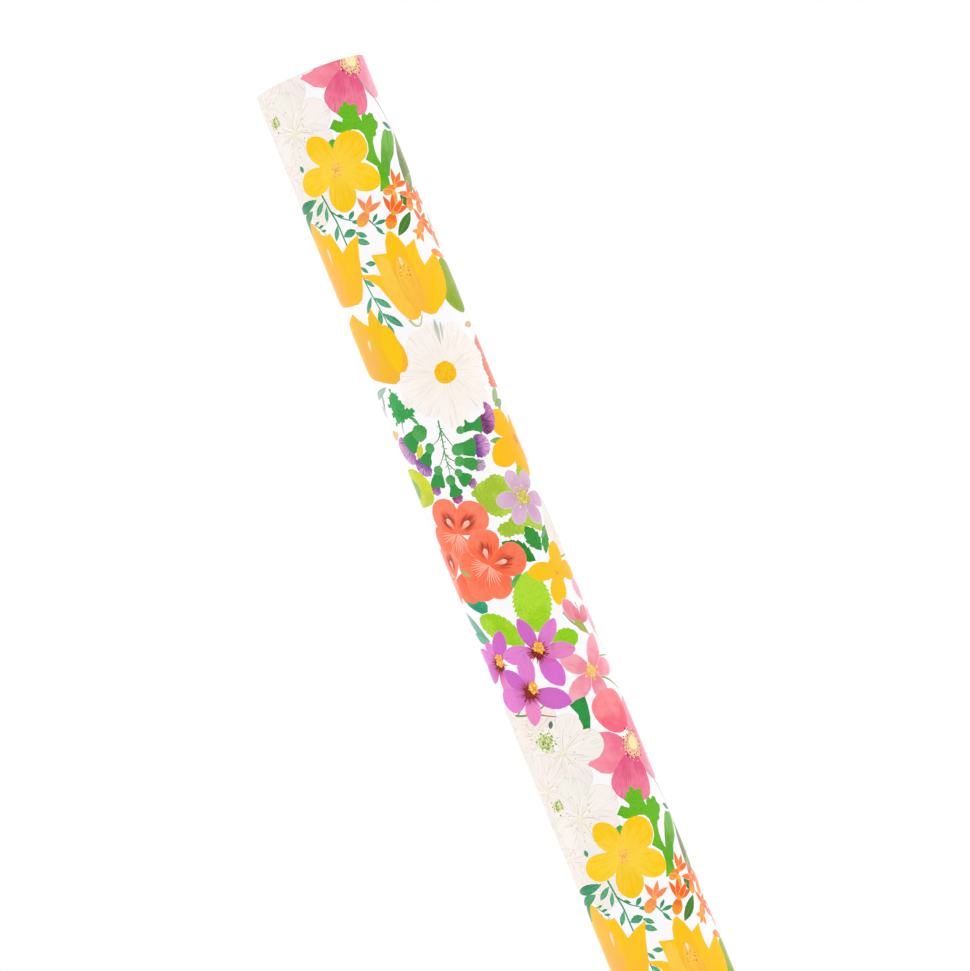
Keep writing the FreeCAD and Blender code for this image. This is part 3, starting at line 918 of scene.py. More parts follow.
class Repeat:
    """One repeat of the print as triangles that never cross a column line or a bake row."""

    def __init__(self):
        points, edges, self.printed = [], [], []
        for shape in shapes:
            for dx, dy in copies_of(shape):
                start = len(points)
                outline = [(x + dx, y + dy) for x, y in shape.outline]
                points.extend(outline)
                edges.extend((start + i, start + (i + 1) % len(outline)) for i in range(len(outline)))
                self.printed.append((shape, outline, dx, dy))
        right = repeat_left + repeat_width
        lines = [((repeat_left + c * column_width, 0), (repeat_left + c * column_width, repeat_length))
                 for c in range(repeat_columns + 1)]
        lines += [((repeat_left, row * bake_row_length), (right, row * bake_row_length))
                  for row in range(bake_rows_in_repeat + 1)]
        for line in lines:
            edges.append((len(points), len(points) + 1))
            points.extend(line)
        made = delaunay_2d_cdt([Vector(point) for point in points], edges, [], 0, cut_tolerance, False)
        self.points = np.array([tuple(point) for point in made[0]])
        triangles = np.array(made[2])
        middles = self.points[triangles].mean(axis=1)
        kept = (middles[:, 0] > repeat_left) & (middles[:, 0] < right)
        kept &= (middles[:, 1] > 0) & (middles[:, 1] < repeat_length)
        order = np.argsort(middles[kept, 1])
        self.triangles = triangles[kept][order]
        self.middles = middles[kept][order]
        self.tops = self.find_tops()
        columns = np.floor((self.middles[:, 0] - repeat_left) / column_width).astype(int)
        self.in_column = [np.flatnonzero(columns == c) for c in range(repeat_columns)]

    def find_tops(self):
        """The uppermost printed shape on each triangle, or -1 on the bare ground."""
        tops = np.full(len(self.triangles), -1)
        x, y = self.middles[:, 0], self.middles[:, 1]
        for index, (_, outline, _, _) in enumerate(self.printed):
            xs, ys = [p[0] for p in outline], [p[1] for p in outline]
            low, high = np.searchsorted(y, (min(ys), max(ys)))
            near = low + np.flatnonzero((x[low:high] > min(xs)) & (x[low:high] < max(xs)))
            tops[near[inside_outline(outline, x[near], y[near])]] = index
        return tops


def printed_area(repeat, first, last):
    """The sheet between two column lines: its points, triangles, each triangle's shape and its move.

    Each column strip is welded to the next, and slivers that close up or repeat are dropped.
    """
    places, triangles, tops, moves = [], [], [], []
    count = 0
    for row in range(repeat_count):
        for column in range(first, last):
            steps = column - repeat_step_columns * row - last_turn_start_column
            wraps, tile_column = divmod(steps, repeat_columns)
            chosen = repeat.in_column[tile_column]
            used, corners = np.unique(repeat.triangles[chosen], return_inverse=True)
            move = (wraps * repeat_width + row * repeat_step, row * repeat_length)
            places.append(repeat.points[used] + move)
            triangles.append(corners.reshape(-1, 3) + count)
            tops.append(repeat.tops[chosen])
            moves.append(np.tile(move, (len(chosen), 1)))
            count += len(used)
    places, triangles = np.concatenate(places), np.concatenate(triangles)
    steps = np.round(places * weld_steps)
    _, kept, welded = np.unique(steps, axis=0, return_index=True, return_inverse=True)
    triangles = welded.reshape(-1)[triangles]
    corners = np.sort(triangles, axis=1)
    _, once = np.unique(corners, axis=0, return_index=True)
    whole = np.sort(once[(np.diff(corners[once], axis=1) > 0).all(axis=1)])
    return places[kept], triangles[whole], np.concatenate(tops)[whole], np.concatenate(moves)[whole]


def spiral_radius(columns):
    """The radius of the evenly wound turns at some column lines, in millimetres."""
    return wound_radius + winding_pitch * (columns - below_free_end_column) / columns_per_turn


def face_radius(columns):
    """The printed face's radius in millimetres: the last turn climbs over the edge of the one below."""
    start = spiral_radius(last_turn_start_column)
    climb = np.clip((columns - last_turn_start_column) / climb_columns, 0, 1)
    last_turn = start + (roll_radius - start) * climb
    return np.where(columns <= last_turn_start_column, spiral_radius(columns), last_turn)


def on_roll(x, y, depth=0.0):
    """Places on the sheet carried onto the roll, in metres, depth millimetres below the printed face."""
    line = np.floor(x / column_width + column_snap)
    share = np.clip(x / column_width - line, 0, 1)
    points = np.zeros((len(x), 3))
    for weight, column in ((1 - share, line), (share, line + 1)):
        angle = np.radians(column * column_angle - 90)
        radius = weight * (face_radius(column) - depth)
        points[:, 0] += radius * np.cos(angle)
        points[:, 1] += radius * np.sin(angle)
    points[:, 2] = sheet_width - y
    return points * MM


def build_piece(name, points, faces, sides, uvs, materials, slots=None):
    """A mesh piece. Its outside and inside faces shade as parts of a true cylinder."""
    mesh = bpy.data.meshes.new(name)
    mesh.from_pydata(points.tolist(), [], faces)
    for material in materials:
        mesh.materials.append(material)
    if slots is not None:
        mesh.polygons.foreach_set("material_index", np.asarray(slots, dtype=np.int32))
    corners = np.empty(len(mesh.loops), dtype=np.int32)
    mesh.loops.foreach_get("vertex_index", corners)
    normals = np.empty(len(faces) * 3)
    mesh.polygons.foreach_get("normal", normals)
    face_of_corner = np.repeat(np.arange(len(faces)), [len(face) for face in faces])
    side = np.asarray(sides)[face_of_corner][:, None]
    radial = points[corners] * (1, 1, 0)
    radial /= np.linalg.norm(radial, axis=1)[:, None]
    smooth = np.where(side == FLAT, normals.reshape(-1, 3)[face_of_corner], radial * side)
    layer = mesh.uv_layers.new(name="OFBake")
    layer.uv.foreach_set("vector", np.asarray(uvs, dtype=np.float32).ravel())
    mesh.polygons.foreach_set("use_smooth", np.ones(len(faces), dtype=bool))
    mesh.normals_split_custom_set(smooth)
    piece = bpy.data.objects.new(name, mesh)
    bpy.context.scene.collection.objects.link(piece)
    return piece


def bake_places(places, faces, middles, first, last, printed_count):
    """Where each corner bakes: the print in blocks side by side, the plain faces in one narrow strip."""
    width = (last - first) * column_width
    blocks = min(bake_block_counts, key=lambda n: max(n * (width + bake_gap), sheet_width / n))
    block_length = sheet_width / blocks
    scale = bake_print_share / max(blocks * (width + bake_gap), block_length)
    uvs = []
    for index, face in enumerate(faces):
        here = places[face]
        if index < printed_count:
            block = int(middles[index] // block_length)
            u = (here[:, 0] - first * column_width + block * (width + bake_gap)) * scale
            v = (here[:, 1] - block * block_length) * scale
        else:
            u = bake_plain_left + bake_plain_share * (here[:, 0] - first * column_width) / width
            v = here[:, 1] / sheet_width
        uvs.append(np.stack([u, v], axis=1))
    return np.concatenate(uvs)


def sheet_piece(repeat, name, first, last, materials):
    """A stretch of the printed sheet between two column lines, with its plain inside and its cut edges."""
    places, triangles, tops, moves = printed_area(repeat, first, last)
    flipped = triangles[:, ::-1]
    lines = np.arange(first, last + 1)
    inner_start = len(places)
    inner = np.array([(line * column_width, y) for line in lines for y in (0, sheet_width)])
    points = np.concatenate([on_roll(*places.T), on_roll(*inner.T, depth=paper_thickness)])
    places = np.concatenate([places, inner])

    def inner_corner(line, end):
        return inner_start + 2 * (line - first) + end

    def on_border(axis, value):
        return np.flatnonzero(np.abs(places[:inner_start, axis] - value) < border_snap)

    faces = flipped.tolist()
    printed_count = len(faces)
    for line in lines[:-1]:
        faces.append([inner_corner(line + 1, 0), inner_corner(line + 1, 1), inner_corner(line, 1),
                      inner_corner(line, 0)])
    sides = [OUTSIDE] * printed_count + [INSIDE] * (len(lines) - 1)
    for end, value in ((0, 0.0), (1, sheet_width)):
        rim = on_border(1, value)
        rim = rim[np.argsort(places[rim, 0])]
        for line in lines[:-1]:
            low, high = line * column_width - border_snap, (line + 1) * column_width + border_snap
            part = [int(v) for v in rim if low < places[v, 0] < high]
            face = part + [inner_corner(line + 1, end), inner_corner(line, end)]
            faces.append(face if end == 0 else face[::-1])
            sides.append(FLAT)
    for line, flip in ((first, False), (last, True)):
        wall = on_border(0, line * column_width)
        wall = [int(v) for v in wall[np.argsort(places[wall, 1])]]
        face = wall + [inner_corner(line, 1), inner_corner(line, 0)]
        faces.append(face if flip else face[::-1])
        sides.append(FLAT)
    middles = places[flipped][:, :, 1].mean(axis=1)
    uvs = bake_places(places, faces, middles, first, last, printed_count)
    inks = [INKS.index(repeat.printed[top][0].ink) if top >= 0 else 0 for top in tops]
    slots = inks + [INKS.index("inside")] * (len(faces) - printed_count)
    piece = build_piece(name, points, faces, sides, uvs, [materials[ink] for ink in INKS], slots)
    add_print_values(piece.data, repeat, tops, moves, places)
    return piece


def add_print_values(mesh, repeat, tops, moves, places):
    """What the inks read: each point's place on the sheet, and each face's root, growth and colours."""
    count = len(mesh.polygons)
    roots, grows = np.zeros((count, 3)), np.zeros((count, 3))
    colours = np.ones((3, count, 4))
    for index, (shape, _, dx, dy) in enumerate(repeat.printed):
        faces = np.flatnonzero(tops == index)
        length = max(math.dist(shape.root, shape.tip), 0.1)
        axis = ((shape.tip[0] - shape.root[0]) / length, (shape.tip[1] - shape.root[1]) / length)
        roots[faces, :2] = moves[faces] + (shape.root[0] + dx, shape.root[1] + dy)
        roots[faces, 2] = (shape.root[0] * 7.31 + shape.root[1] * 3.17) % 10
        grows[faces] = (axis[0] / length, axis[1] / length, length / shape.half_width)
        for which in range(3):
            colours[which, faces, :3] = shape.colours[which]
    place = mesh.attributes.new("place", "FLOAT_VECTOR", "POINT")
    flat_places = np.zeros((len(places), 3), dtype=np.float32)
    flat_places[:, :2] = places
    place.data.foreach_set("vector", flat_places.ravel())
    for name, values in (("root", roots), ("grow", grows)):
        layer = mesh.attributes.new(name, "FLOAT_VECTOR", "FACE")
        layer.data.foreach_set("vector", values.astype(np.float32).ravel())
    for name, values in zip(("base", "tip", "line"), colours):
        layer = mesh.attributes.new(name, "FLOAT_COLOR", "FACE")
        layer.data.foreach_set("color", values.astype(np.float32).ravel())


def end_recess(columns, phase):
    """How far the wound turns' ends stand back from the roll's end, in millimetres: never quite level."""
    waves = np.sin(0.0289 * columns + phase) + 0.7 * np.sin(0.0113 * columns + 2.1 * phase)
    waves += 0.35 * np.sin(0.091 * columns - phase)
    settled = np.clip((below_free_end_column - columns) / columns_per_turn, 0, 1)
    return (0.11 + 0.05 * waves) * settled


def wound_sheet(name, first, last, material):
    """The wound turns as one long spiral of real paper."""
    lines = np.arange(first, last + 1)
    x = lines * column_width
    rings = []
    for depth in (0.0, paper_thickness):
        rings.append(on_roll(x, end_recess(lines, 0.4), depth))
        rings.append(on_roll(x, sheet_width - end_recess(lines, 1.9), depth))
    outer_top, outer_bottom, inner_top, inner_bottom = (k * len(lines) for k in range(4))
    walls = (
        (outer_top, outer_bottom, OUTSIDE), (inner_bottom, inner_top, INSIDE),
        (inner_top, outer_top, FLAT), (outer_bottom, inner_bottom, FLAT),
    )
    points = np.concatenate(rings)
    faces, sides, uvs = [], [], []
    for start, end, side in walls:
        for i in range(len(lines) - 1):
            face = [start + i, end + i, end + i + 1, start + i + 1]
            faces.append(face)
            sides.append(side)
            if side == FLAT:
                left = bake_end_middles[start != inner_top]
                for v in face:
                    x, y = points[v, :2] * bake_end_scale
                    uvs.append((left + x, bake_end_middles[0] + y))
            else:
                turn = i % columns_per_turn / columns_per_turn
                for k, v in enumerate(face):
                    across = turn + (k in (2, 3)) / columns_per_turn
                    uvs.append((across, bake_wall_bottom + points[v, 2] * bake_wall_scale))
    end = len(lines) - 1
    for i, flip in ((0, False), (end, True)):
        face = [outer_top + i, inner_top + i, inner_bottom + i, outer_bottom + i]
        faces.append(face[::-1] if flip else face)
        sides.append(FLAT)
        uvs.extend(bake_corner)
    return build_piece(name, points, faces, sides, uvs, [material])


# ---------------------------------------------------------------------------------------------
# The core and the glue.
# ---------------------------------------------------------------------------------------------

def core_ply(name, inner_radius, outer_radius, phase, material):
    """One strip of board in a helix, phase turns on from the last, with a fine gap where its edges meet."""
    rise = ply_lead / columns_per_turn
    sections = []
    for step in range(math.ceil((sheet_width + 2 * ply_lead) / rise)):
        low = (step - phase * columns_per_turn) * rise - ply_lead
        bottom = min(max(low + ply_seam_gap / 2, 0), sheet_width)
        top = min(max(low + ply_lead - ply_seam_gap / 2, 0), sheet_width)
        if top - bottom > ply_shortest_section:
            sections.append((step, bottom, top, low))
    corners = []
    for step, bottom, top, _ in sections:
        angle = math.radians(step * column_angle - 90)
        rim = (outer_radius, top), (outer_radius, bottom), (inner_radius, bottom), (inner_radius, top)
        corners.extend((radius * math.cos(angle), radius * math.sin(angle), z) for radius, z in rim)
    points = np.array(corners) * MM
    faces, sides, uvs = [], [], []
    for s in range(len(sections) - 1):
        here, there = 4 * s, 4 * (s + 1)
        for a, b, side in ((0, 1, OUTSIDE), (1, 2, FLAT), (2, 3, INSIDE), (3, 0, FLAT)):
            face = [here + a, here + b, there + b, there + a]
            faces.append(face)
            sides.append(side)
            turn, step = divmod(sections[s][0], columns_per_turn)
            left = 0.5 if side == INSIDE else 0.0
            for v in face:
                across = (points[v, 2] / MM - sections[v // 4][3]) / ply_lead
                along_turn = (step + v // 4 - s) / columns_per_turn
                up = (turn + bake_ply_height * across) / (sheet_width / ply_lead + bake_ply_spare_turns)
                uvs.append((left + bake_ply_length * along_turn, up))
    for s, order in ((0, (3, 2, 1, 0)), (len(sections) - 1, (0, 1, 2, 3))):
        faces.append([4 * s + k for k in order])
        sides.append(FLAT)
        uvs.extend(bake_corner)
    return build_piece(name, points, faces, sides, uvs, [material])


def glue_dots(name, material):
    """Small low domes of soft glue that hold the sheet's free end down."""
    rings, segments = glue_rings, glue_segments
    points, faces, sides, uvs = [], [], [], []
    column = free_edge_column - strip_columns / 2 - columns_per_turn
    foot_radius = float(face_radius(np.array(column))) - glue_sink
    for dot in range(glue_dot_count):
        middle = sheet_width / 2 + (dot - (glue_dot_count - 1) / 2) * glue_dot_spacing
        start = len(points)
        for ring in range(rings + 1):
            reach = glue_dot_radius * (1 - ring / rings)
            share = math.sin(math.pi / 2 * (ring / rings) ** glue_roundness)
            radius = foot_radius + (glue_top_radius - foot_radius) * share
            for segment in range(segments if ring < rings else 1):
                turn = 2 * math.pi * segment / segments
                uneven = 1 + 0.05 * math.sin(3 * turn + dot) + 0.03 * math.sin(5 * turn + 2 * dot)
                angle = math.radians(column * column_angle - 90) + reach * uneven * math.cos(turn) / radius
                z = middle + reach * uneven * math.sin(turn)
                points.append((radius * math.cos(angle), radius * math.sin(angle), z))
        for ring in range(rings):
            for segment in range(segments):
                a, b = start + ring * segments + segment, start + ring * segments + (segment + 1) % segments
                if ring < rings - 1:
                    faces.append([a, b, b + segments, a + segments])
                else:
                    faces.append([a, b, start + rings * segments])
        faces.append(list(range(start + segments - 1, start - 1, -1)))
    points = np.array(points) * MM
    for face in faces:
        sides.append(FLAT if len(face) == segments else OUTSIDE)
        for v in face:
            dot = v // (rings * segments + 1)
            x, z = points[v, 0] / MM, points[v, 2] / MM
            above = z % glue_dot_spacing - glue_dot_spacing / 2
            uvs.append((0.5 + x * bake_glue_scale, (dot + 0.5) / glue_dot_count + above * bake_glue_scale))
    return build_piece(name, points, faces, sides, uvs, [material])


# ---------------------------------------------------------------------------------------------
# Materials. Each is paper, board or glue first, with its colour from its own pattern.
# ---------------------------------------------------------------------------------------------

class Nodes:
    """A short way to write one material's nodes."""

    def __init__(self, name):
        self.material = bpy.data.materials.new(name)
        self.material.use_nodes = True
        self.tree = self.material.node_tree
        self.shader = self.tree.nodes["Principled BSDF"]

    def add(self, kind, **settings):
        node = self.tree.nodes.new(kind)
        for key, value in settings.items():
            setattr(node, key, value)
        return node

    def feed(self, socket, value):
        if isinstance(value, bpy.types.NodeSocket):
            self.tree.links.new(value, socket)
        else:
            socket.default_value = value

    def math(self, operation, *values):
        node = self.add("ShaderNodeMath", operation=operation)
        for socket, value in zip(node.inputs, values):
            self.feed(socket, value)
        return node.outputs[0]

    def vector(self, operation, *values):
        node = self.add("ShaderNodeVectorMath", operation=operation)
        for socket, value in zip(node.inputs, values):
            self.feed(socket, value)
        return node.outputs["Value" if operation == "DOT_PRODUCT" else "Vector"]

    def step(self, value, low, high, start=0.0, end=1.0):
        """A smooth step from start to end as value goes from low to high."""
        node = self.add("ShaderNodeMapRange", interpolation_type="SMOOTHSTEP")
        for socket, setting in zip(node.inputs, (value, low, high, start, end)):
            self.feed(socket, setting)
        return node.outputs["Result"]

    def mix(self, share, first, second):
        """A blend of two colours."""
        node = self.add("ShaderNodeMix", data_type="RGBA")
        self.feed(node.inputs["Factor"], share)
        colours = [socket for socket in node.inputs if socket.type == "RGBA"]
        self.feed(colours[0], first)
        self.feed(colours[1], second)
        return next(socket for socket in node.outputs if socket.type == "RGBA")

    def attribute(self, name, output):
        return self.add("ShaderNodeAttribute", attribute_name=name).outputs[output]

    def parts(self, vector):
        node = self.add("ShaderNodeSeparateXYZ")
        self.feed(node.inputs[0], vector)
        return list(node.outputs)

    def point(self, x, y, z):
        node = self.add("ShaderNodeCombineXYZ")
        for socket, value in zip(node.inputs, (x, y, z)):
            self.feed(socket, value)
        return node.outputs[0]

    def noise(self, place, scale, detail=2.0, roughness=0.5):
        node = self.add("ShaderNodeTexNoise")
        settings = {"Vector": place, "Scale": scale, "Detail": detail, "Roughness": roughness}
        for name, value in settings.items():
            self.feed(node.inputs[name], value)
        return node.outputs["Fac"]

    def object_place(self):
        return self.add("ShaderNodeTexCoord").outputs["Object"]

    def set(self, name, value):
        """Gives one of the surface's inputs a value or a pattern."""
        self.feed(self.shader.inputs[name], value)

    def relief(self, height, strength, distance):
        """A fine relief of the surface, whose depth is in metres."""
        node = self.add("ShaderNodeBump")
        node.inputs["Strength"].default_value = strength
        node.inputs["Distance"].default_value = distance
        self.feed(node.inputs["Height"], height)
        self.set("Normal", node.outputs["Normal"])

    def mottle(self, flat, number, scale, detail, roughness=0.5, shift=0.0):
        """Uneven patches over a printed shape, which differ from shape to shape."""
        place = self.vector("ADD", flat, self.point(number, number, shift))
        return self.noise(place, scale, detail, roughness)


def paper_finish(nodes, colour, gloss=0.42):
    """Coated paper: satin, with a fine uneven calendered grain."""
    place = nodes.object_place()
    grain = nodes.noise(place, 2600, 3.0, 0.65)
    cloud = nodes.noise(place, 160, 2.0)
    fine_rough = nodes.step(grain, 0.3, 0.7, gloss - 0.05, gloss + 0.06)
    nodes.set("Base Color", colour)
    nodes.set("Roughness", nodes.math("ADD", fine_rough, nodes.step(cloud, 0.3, 0.7, -0.03, 0.04)))
    nodes.set("Specular IOR Level", 0.12)
    nodes.set("Sheen Weight", 0.6)
    nodes.set("Sheen Roughness", 0.25)
    nodes.relief(nodes.math("ADD", grain, nodes.math("MULTIPLY", cloud, 2.0)), 0.35, 0.00002)
    return nodes.material


def shape_place(nodes):
    """Where a point lies in its printed shape: flat millimetres from the root, share of the way to the
    tip, share of the half width to the side, and the shape's own number."""
    root = nodes.attribute("root", "Vector")
    grow = nodes.attribute("grow", "Vector")
    place = nodes.attribute("place", "Vector")
    flat = nodes.vector("MULTIPLY", nodes.vector("SUBTRACT", place, root), (1, 1, 0))
    axis = nodes.vector("MULTIPLY", grow, (1, 1, 0))
    cross = nodes.parts(nodes.vector("CROSS_PRODUCT", flat, axis))[2]
    side = nodes.math("MULTIPLY", cross, nodes.parts(grow)[2])
    return flat, nodes.vector("DOT_PRODUCT", flat, axis), side, nodes.parts(root)[2]


def shape_colours(nodes):
    """The three colours that each printed shape brings: at its root, at its tip and for its veins."""
    return [nodes.attribute(name, "Color") for name in ("base", "tip", "line")]


def streak_noise(nodes, along_shape, side, number, root_offset=0.3, roughness=0.62):
    """Streaks that fan out from a little behind a shape's root."""
    fan = nodes.math("DIVIDE", side, nodes.math("ADD", nodes.math("ABSOLUTE", along_shape), root_offset))
    place = nodes.point(nodes.math("MULTIPLY", fan, 9.0), nodes.math("MULTIPLY", along_shape, 1.6), number)
    return nodes.noise(place, 1.0, 4.0, roughness)


def speckled(nodes, flat, colour, amount=0.025):
    """A colour with the fine uneven grain of the printed watercolour."""
    value = nodes.step(nodes.noise(flat, 3.2, 2.0, 0.6), 0.3, 0.62, 1 - 2 * amount, 1.0)
    return nodes.vector("MULTIPLY", colour, nodes.point(value, value, value))


def petal_ink(name, fade_start, fade_end, line_share, flare=False):
    """A petal: its colour changes from the root to the tip, with fine veins and, in some, a dark flare."""
    nodes = Nodes(name)
    flat, along_shape, side, number = shape_place(nodes)
    base, tip, line = shape_colours(nodes)
    streaks = streak_noise(nodes, along_shape, side, number)
    waves = nodes.mottle(flat, number, 0.22, 3.0)
    sway = 0.25 * (fade_end - fade_start)
    reach = nodes.math("ADD", along_shape, nodes.step(waves, 0.3, 0.7, -sway, sway))
    reach = nodes.math("ADD", reach, nodes.step(streaks, 0.3, 0.7, -sway, sway))
    colour = nodes.mix(nodes.step(reach, fade_start, fade_end), base, tip)
    colour = nodes.mix(nodes.step(streaks, 0.52, 0.66, 0.0, line_share), colour, line)
    if flare:
        up = nodes.math("DIVIDE", nodes.math("SUBTRACT", along_shape, 0.42), 0.26)
        out = nodes.math("DIVIDE", side, 0.42)
        away = nodes.math("ADD", nodes.math("MULTIPLY", up, up), nodes.math("MULTIPLY", out, out))
        away = nodes.math("ADD", away, nodes.step(streaks, 0.35, 0.65, 0.45, -0.45))
        colour = nodes.mix(nodes.step(away, 1.3, 0.4, 0.0, 0.6), colour, (0.60, 0.05, 0.02, 1.0))
        colour = nodes.mix(nodes.step(away, 0.7, 0.1, 0.0, 0.6), colour, (0.28, 0.022, 0.012, 1.0))
    return paper_finish(nodes, speckled(nodes, flat, colour))


def leaf_ink(name, veins):
    """A leaf: mottled green, with a pale midrib and side veins where it has them."""
    nodes = Nodes(name)
    flat, along_shape, side, number = shape_place(nodes)
    base, tip, line = shape_colours(nodes)
    mottle = nodes.mottle(flat, number, 1.3, 4.0, 0.7)
    cloud = nodes.mottle(flat, number, 0.12, 1.0, shift=5.0)
    tone = nodes.math("ADD", cloud, nodes.step(mottle, 0.3, 0.7, -0.1, 0.1))
    colour = nodes.mix(nodes.step(tone, 0.4, 0.6), base, tip)
    colour = nodes.mix(nodes.step(mottle, 0.48, 0.34, 0.0, 0.55), colour, line)
    if veins:
        apart = nodes.math("ABSOLUTE", side)
        slant = nodes.math("MULTIPLY", apart, 2.2)
        phase = nodes.math("SUBTRACT", nodes.math("MULTIPLY", along_shape, 9.0), slant)
        phase = nodes.math("ADD", phase, nodes.step(mottle, 0.3, 0.7, -0.25, 0.25))
        ripple = nodes.math("SINE", nodes.math("MULTIPLY", phase, 2 * math.pi))
        colour = nodes.mix(nodes.step(ripple, 0.6, 1.0, 0.0, 0.08), colour, (0.80, 0.90, 0.55, 1.0))
        colour = nodes.mix(nodes.step(apart, 0.09, 0.02, 0.0, 0.15), colour, (0.80, 0.90, 0.60, 1.0))
    return paper_finish(nodes, speckled(nodes, flat, colour, 0.04))


def pollen_ink():
    """A flower's heart: small round grains."""
    nodes = Nodes("pollen_ink")
    flat = shape_place(nodes)[0]
    base, tip, line = shape_colours(nodes)
    dots = nodes.add("ShaderNodeTexVoronoi")
    nodes.feed(dots.inputs["Vector"], flat)
    dots.inputs["Scale"].default_value = 1.7
    colour = nodes.mix(nodes.step(dots.outputs["Distance"], 0.1, 0.45), tip, base)
    colour = nodes.mix(nodes.step(dots.outputs["Distance"], 0.45, 0.75, 0.0, 0.8), colour, line)
    return paper_finish(nodes, colour)


def hair_ink():
    """A tuft of fine hairs, pale and dark."""
    nodes = Nodes("hair_ink")
    _, along_shape, side, number = shape_place(nodes)
    base, tip, line = shape_colours(nodes)
    streaks = streak_noise(nodes, along_shape, side, number, 0.35, 0.7)
    colour = nodes.mix(nodes.step(along_shape, 0.1, 0.9), base, tip)
    colour = nodes.mix(nodes.step(streaks, 0.5, 0.62, 0.0, 0.75), colour, line)
    colour = nodes.mix(nodes.step(streaks, 0.45, 0.3, 0.0, 0.6), colour, (0.95, 0.88, 0.96, 1.0))
    return paper_finish(nodes, colour)


def plain_ink():
    """Small shapes without a pattern of their own: two soft tones."""
    nodes = Nodes("plain_ink")
    flat, _, _, number = shape_place(nodes)
    base, tip, _ = shape_colours(nodes)
    shade = nodes.mottle(flat, number, 0.9, 3.0)
    return paper_finish(nodes, nodes.mix(nodes.step(shade, 0.4, 0.6, 0.0, 0.5), base, tip))


def bare_ground():
    """The white of the sheet between the flowers."""
    nodes = Nodes("printed_ground")
    tint = nodes.noise(nodes.object_place(), 70, 3.0)
    colour = nodes.mix(nodes.step(tint, 0.35, 0.65), (0.955, 0.945, 0.965, 1.0), (0.97, 0.955, 0.965, 1.0))
    return paper_finish(nodes, colour)


def plain_paper():
    """The uncoated inside of the sheet, with its fibres."""
    nodes = Nodes("plain_paper")
    fibres = nodes.noise(nodes.object_place(), 900, 4.0, 0.6)
    colour = nodes.mix(nodes.step(fibres, 0.35, 0.65), (0.86, 0.85, 0.83, 1.0), (0.91, 0.90, 0.88, 1.0))
    return paper_finish(nodes, colour, 0.62)


def core_board():
    """Grey-brown recycled board, with short pale and dark fibres."""
    nodes = Nodes("core_board")
    place = nodes.object_place()
    stretched_place = nodes.vector("MULTIPLY", place, (1.0, 1.0, 0.35))
    fibres = nodes.noise(stretched_place, 1500, 5.0, 0.7)
    patches = nodes.noise(place, 120, 3.0, 0.6)
    colour = nodes.mix(nodes.step(patches, 0.3, 0.7), (0.40, 0.29, 0.19, 1.0), (0.50, 0.375, 0.255, 1.0))
    colour = nodes.mix(nodes.step(fibres, 0.55, 0.72, 0.0, 0.55), colour, (0.66, 0.54, 0.40, 1.0))
    colour = nodes.mix(nodes.step(fibres, 0.42, 0.28, 0.0, 0.5), colour, (0.24, 0.165, 0.105, 1.0))
    nodes.set("Base Color", colour)
    nodes.set("Roughness", nodes.step(fibres, 0.3, 0.7, 0.78, 0.93))
    nodes.relief(fibres, 0.6, 0.00008)
    return nodes.material


def release_glue():
    """Clear soft glue, slightly cloudy."""
    nodes = Nodes("release_glue")
    cloud = nodes.noise(nodes.object_place(), 1400, 3.0)
    colour = nodes.mix(nodes.step(cloud, 0.35, 0.65), (0.86, 0.84, 0.76, 1.0), (0.93, 0.92, 0.87, 1.0))
    nodes.set("Base Color", colour)
    nodes.set("Roughness", nodes.step(cloud, 0.3, 0.7, 0.16, 0.3))
    nodes.set("Transmission Weight", 0.6)
    nodes.set("IOR", 1.47)
    nodes.relief(cloud, 0.3, 0.00003)
    return nodes.material


# ---------------------------------------------------------------------------------------------
# The pieces.
# ---------------------------------------------------------------------------------------------

def place_piece(piece, slot, *nodes):
    """Hides the nodes that a piece replaces; its slot is not used."""
    if nodes:
        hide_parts(*nodes)


def make_sheet(materials):
    repeat = Repeat()
    fixed = (
        ("turn_below_free_end", below_free_end_column, last_turn_start_column, ()),
        ("last_turn_left", last_turn_start_column, last_turn_split_column, ("outer_turn",)),
        ("last_turn_right", last_turn_split_column, first_hinge_column - strip_columns // 2, ()),
    )
    for name, first, last, replaced in fixed:
        piece = sheet_piece(repeat, name, first, last, materials)
        place_piece(piece, "paper", *replaced)
        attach(piece, "wound_roll")
    strip_count = len(hinges)
    for number in range(1, strip_count + 1):
        hinge_column = first_hinge_column + (number - 1) * strip_columns
        first = hinge_column - strip_columns // 2
        last = free_edge_column if number == strip_count else first + strip_columns
        piece = sheet_piece(repeat, f"free_end_sheet_{number}", first, last, materials)
        place_piece(piece, "paper", f"free_end_{number}")
        near, far = (on_roll(np.array([c * column_width]), np.array([sheet_width / 2]))[0]
                     for c in (first, first + strip_columns))
        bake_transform(piece)
    spiral = wound_sheet("wound_spiral", innermost_column, below_free_end_column, materials["inside"])
    place_piece(spiral, "paper", "wound_turns")
    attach(spiral, "wound_roll")


def make_core():
    board = core_board()
    inner_radius = core_bore_radius
    for index, name in enumerate(("core_inner_ply", "core_middle_ply", "core_outer_ply")):
        outer_radius = core_ply_radii[index]
        piece = core_ply(name + "_strip", inner_radius, outer_radius - ply_clearance, 0.37 * index, board)
        place_piece(piece, "core_board", name)
        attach(piece, "core")
        inner_radius = outer_radius


def make_glue():
    piece = glue_dots("glue_domes", release_glue())
    place_piece(piece, "release_glue", "tail_glue_dots")
    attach(piece, "wound_roll")


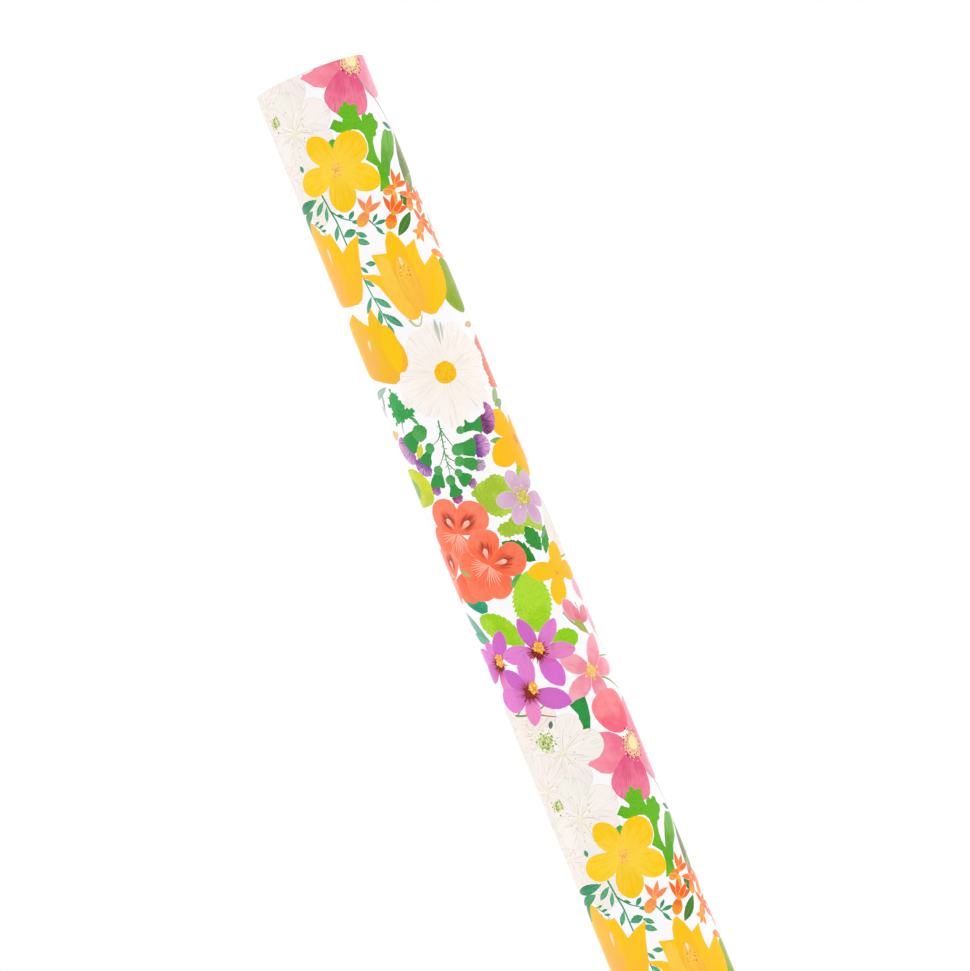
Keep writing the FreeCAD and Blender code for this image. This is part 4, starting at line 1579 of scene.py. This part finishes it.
def make_floor():
    """A plain pale floor disc with a soft, slightly uneven tone."""
    nodes = Nodes("studio_floor")
    tone = nodes.noise(nodes.object_place(), 6, 3.0)
    colour = nodes.mix(nodes.step(tone, 0.3, 0.7), (0.93, 0.93, 0.93, 1.0), (0.96, 0.96, 0.96, 1.0))
    nodes.set("Base Color", colour)
    nodes.set("Roughness", 0.8)
    mesh = bpy.data.meshes.new("floor")
    count = 96
    angles = [2 * math.pi * i / count for i in range(count)]
    rim = [(floor_radius * math.cos(angle), floor_radius * math.sin(angle), 0) for angle in angles]
    mesh.from_pydata(rim, [], [list(range(count))])
    mesh.materials.append(nodes.material)
    floor = bpy.data.objects.new("floor", mesh)
    bpy.context.scene.collection.objects.link(floor)


def make_camera():
    """A long lens at the roll's upper part, rolled so that the roll leans to the left."""
    camera = bpy.data.objects.new("camera", bpy.data.cameras.new("camera"))
    bpy.context.scene.collection.objects.link(camera)
    camera.data.sensor_fit = "HORIZONTAL"
    camera.data.sensor_width = 36.0
    camera.data.lens = camera_lens
    camera.data.clip_start = 0.01
    lean = math.radians(camera_roll)
    camera.matrix_world = Matrix((
        (math.cos(lean), math.sin(lean), 0, camera_place[0] * MM),
        (0, 0, -1, camera_place[1] * MM),
        (-math.sin(lean), math.cos(lean), 0, camera_place[2] * MM),
        (0, 0, 0, 1),
    ))
    bpy.context.scene.camera = camera


def area_light(name, place, target, size, power):
    light = bpy.data.lights.new(name, "AREA")
    light.shape = "RECTANGLE"
    light.size, light.size_y = size
    light.energy = power
    lamp = bpy.data.objects.new(name, light)
    lamp.location = place
    lamp.rotation_euler = (Vector(target) - Vector(place)).to_track_quat("-Z", "Y").to_euler()
    bpy.context.scene.collection.objects.link(lamp)


def make_light():
    """A white room with a soft light at each side."""
    world = bpy.data.worlds.new("white_room")
    world.use_nodes = True
    background = world.node_tree.nodes["Background"]
    background.inputs["Color"].default_value = (1, 1, 1, 1)
    background.inputs["Strength"].default_value = 1.0
    bpy.context.scene.world = world
    middle = (0, 0, sheet_width / 2 * MM)
    for name, side in (("side_left", -1), ("side_right", 1)):
        place = (side * side_light_place[0], side_light_place[1], side_light_place[2])
        area_light(name, place, middle, side_light_size, side_light_power)
    bpy.context.scene.view_settings.view_transform = "Standard"


draw_back()
draw_front()
make_sheet({
    "ground": bare_ground(),
    "plain": plain_ink(),
    "petal": petal_ink("petal_ink", 0.1, 0.95, 0.22),
    "veined": petal_ink("veined_ink", 0.1, 0.9, 0.6),
    "throat": petal_ink("throat_ink", 0.12, 0.46, 0.4),
    "flare": petal_ink("flare_ink", 0.1, 0.95, 0.3, flare=True),
    "leaf": leaf_ink("leaf_ink", veins=True),
    "moss": leaf_ink("moss_ink", veins=False),
    "pollen": pollen_ink(),
    "hair": hair_ink(),
    "inside": plain_paper(),
})
make_core()
make_glue()
make_floor()
make_camera()
make_light()
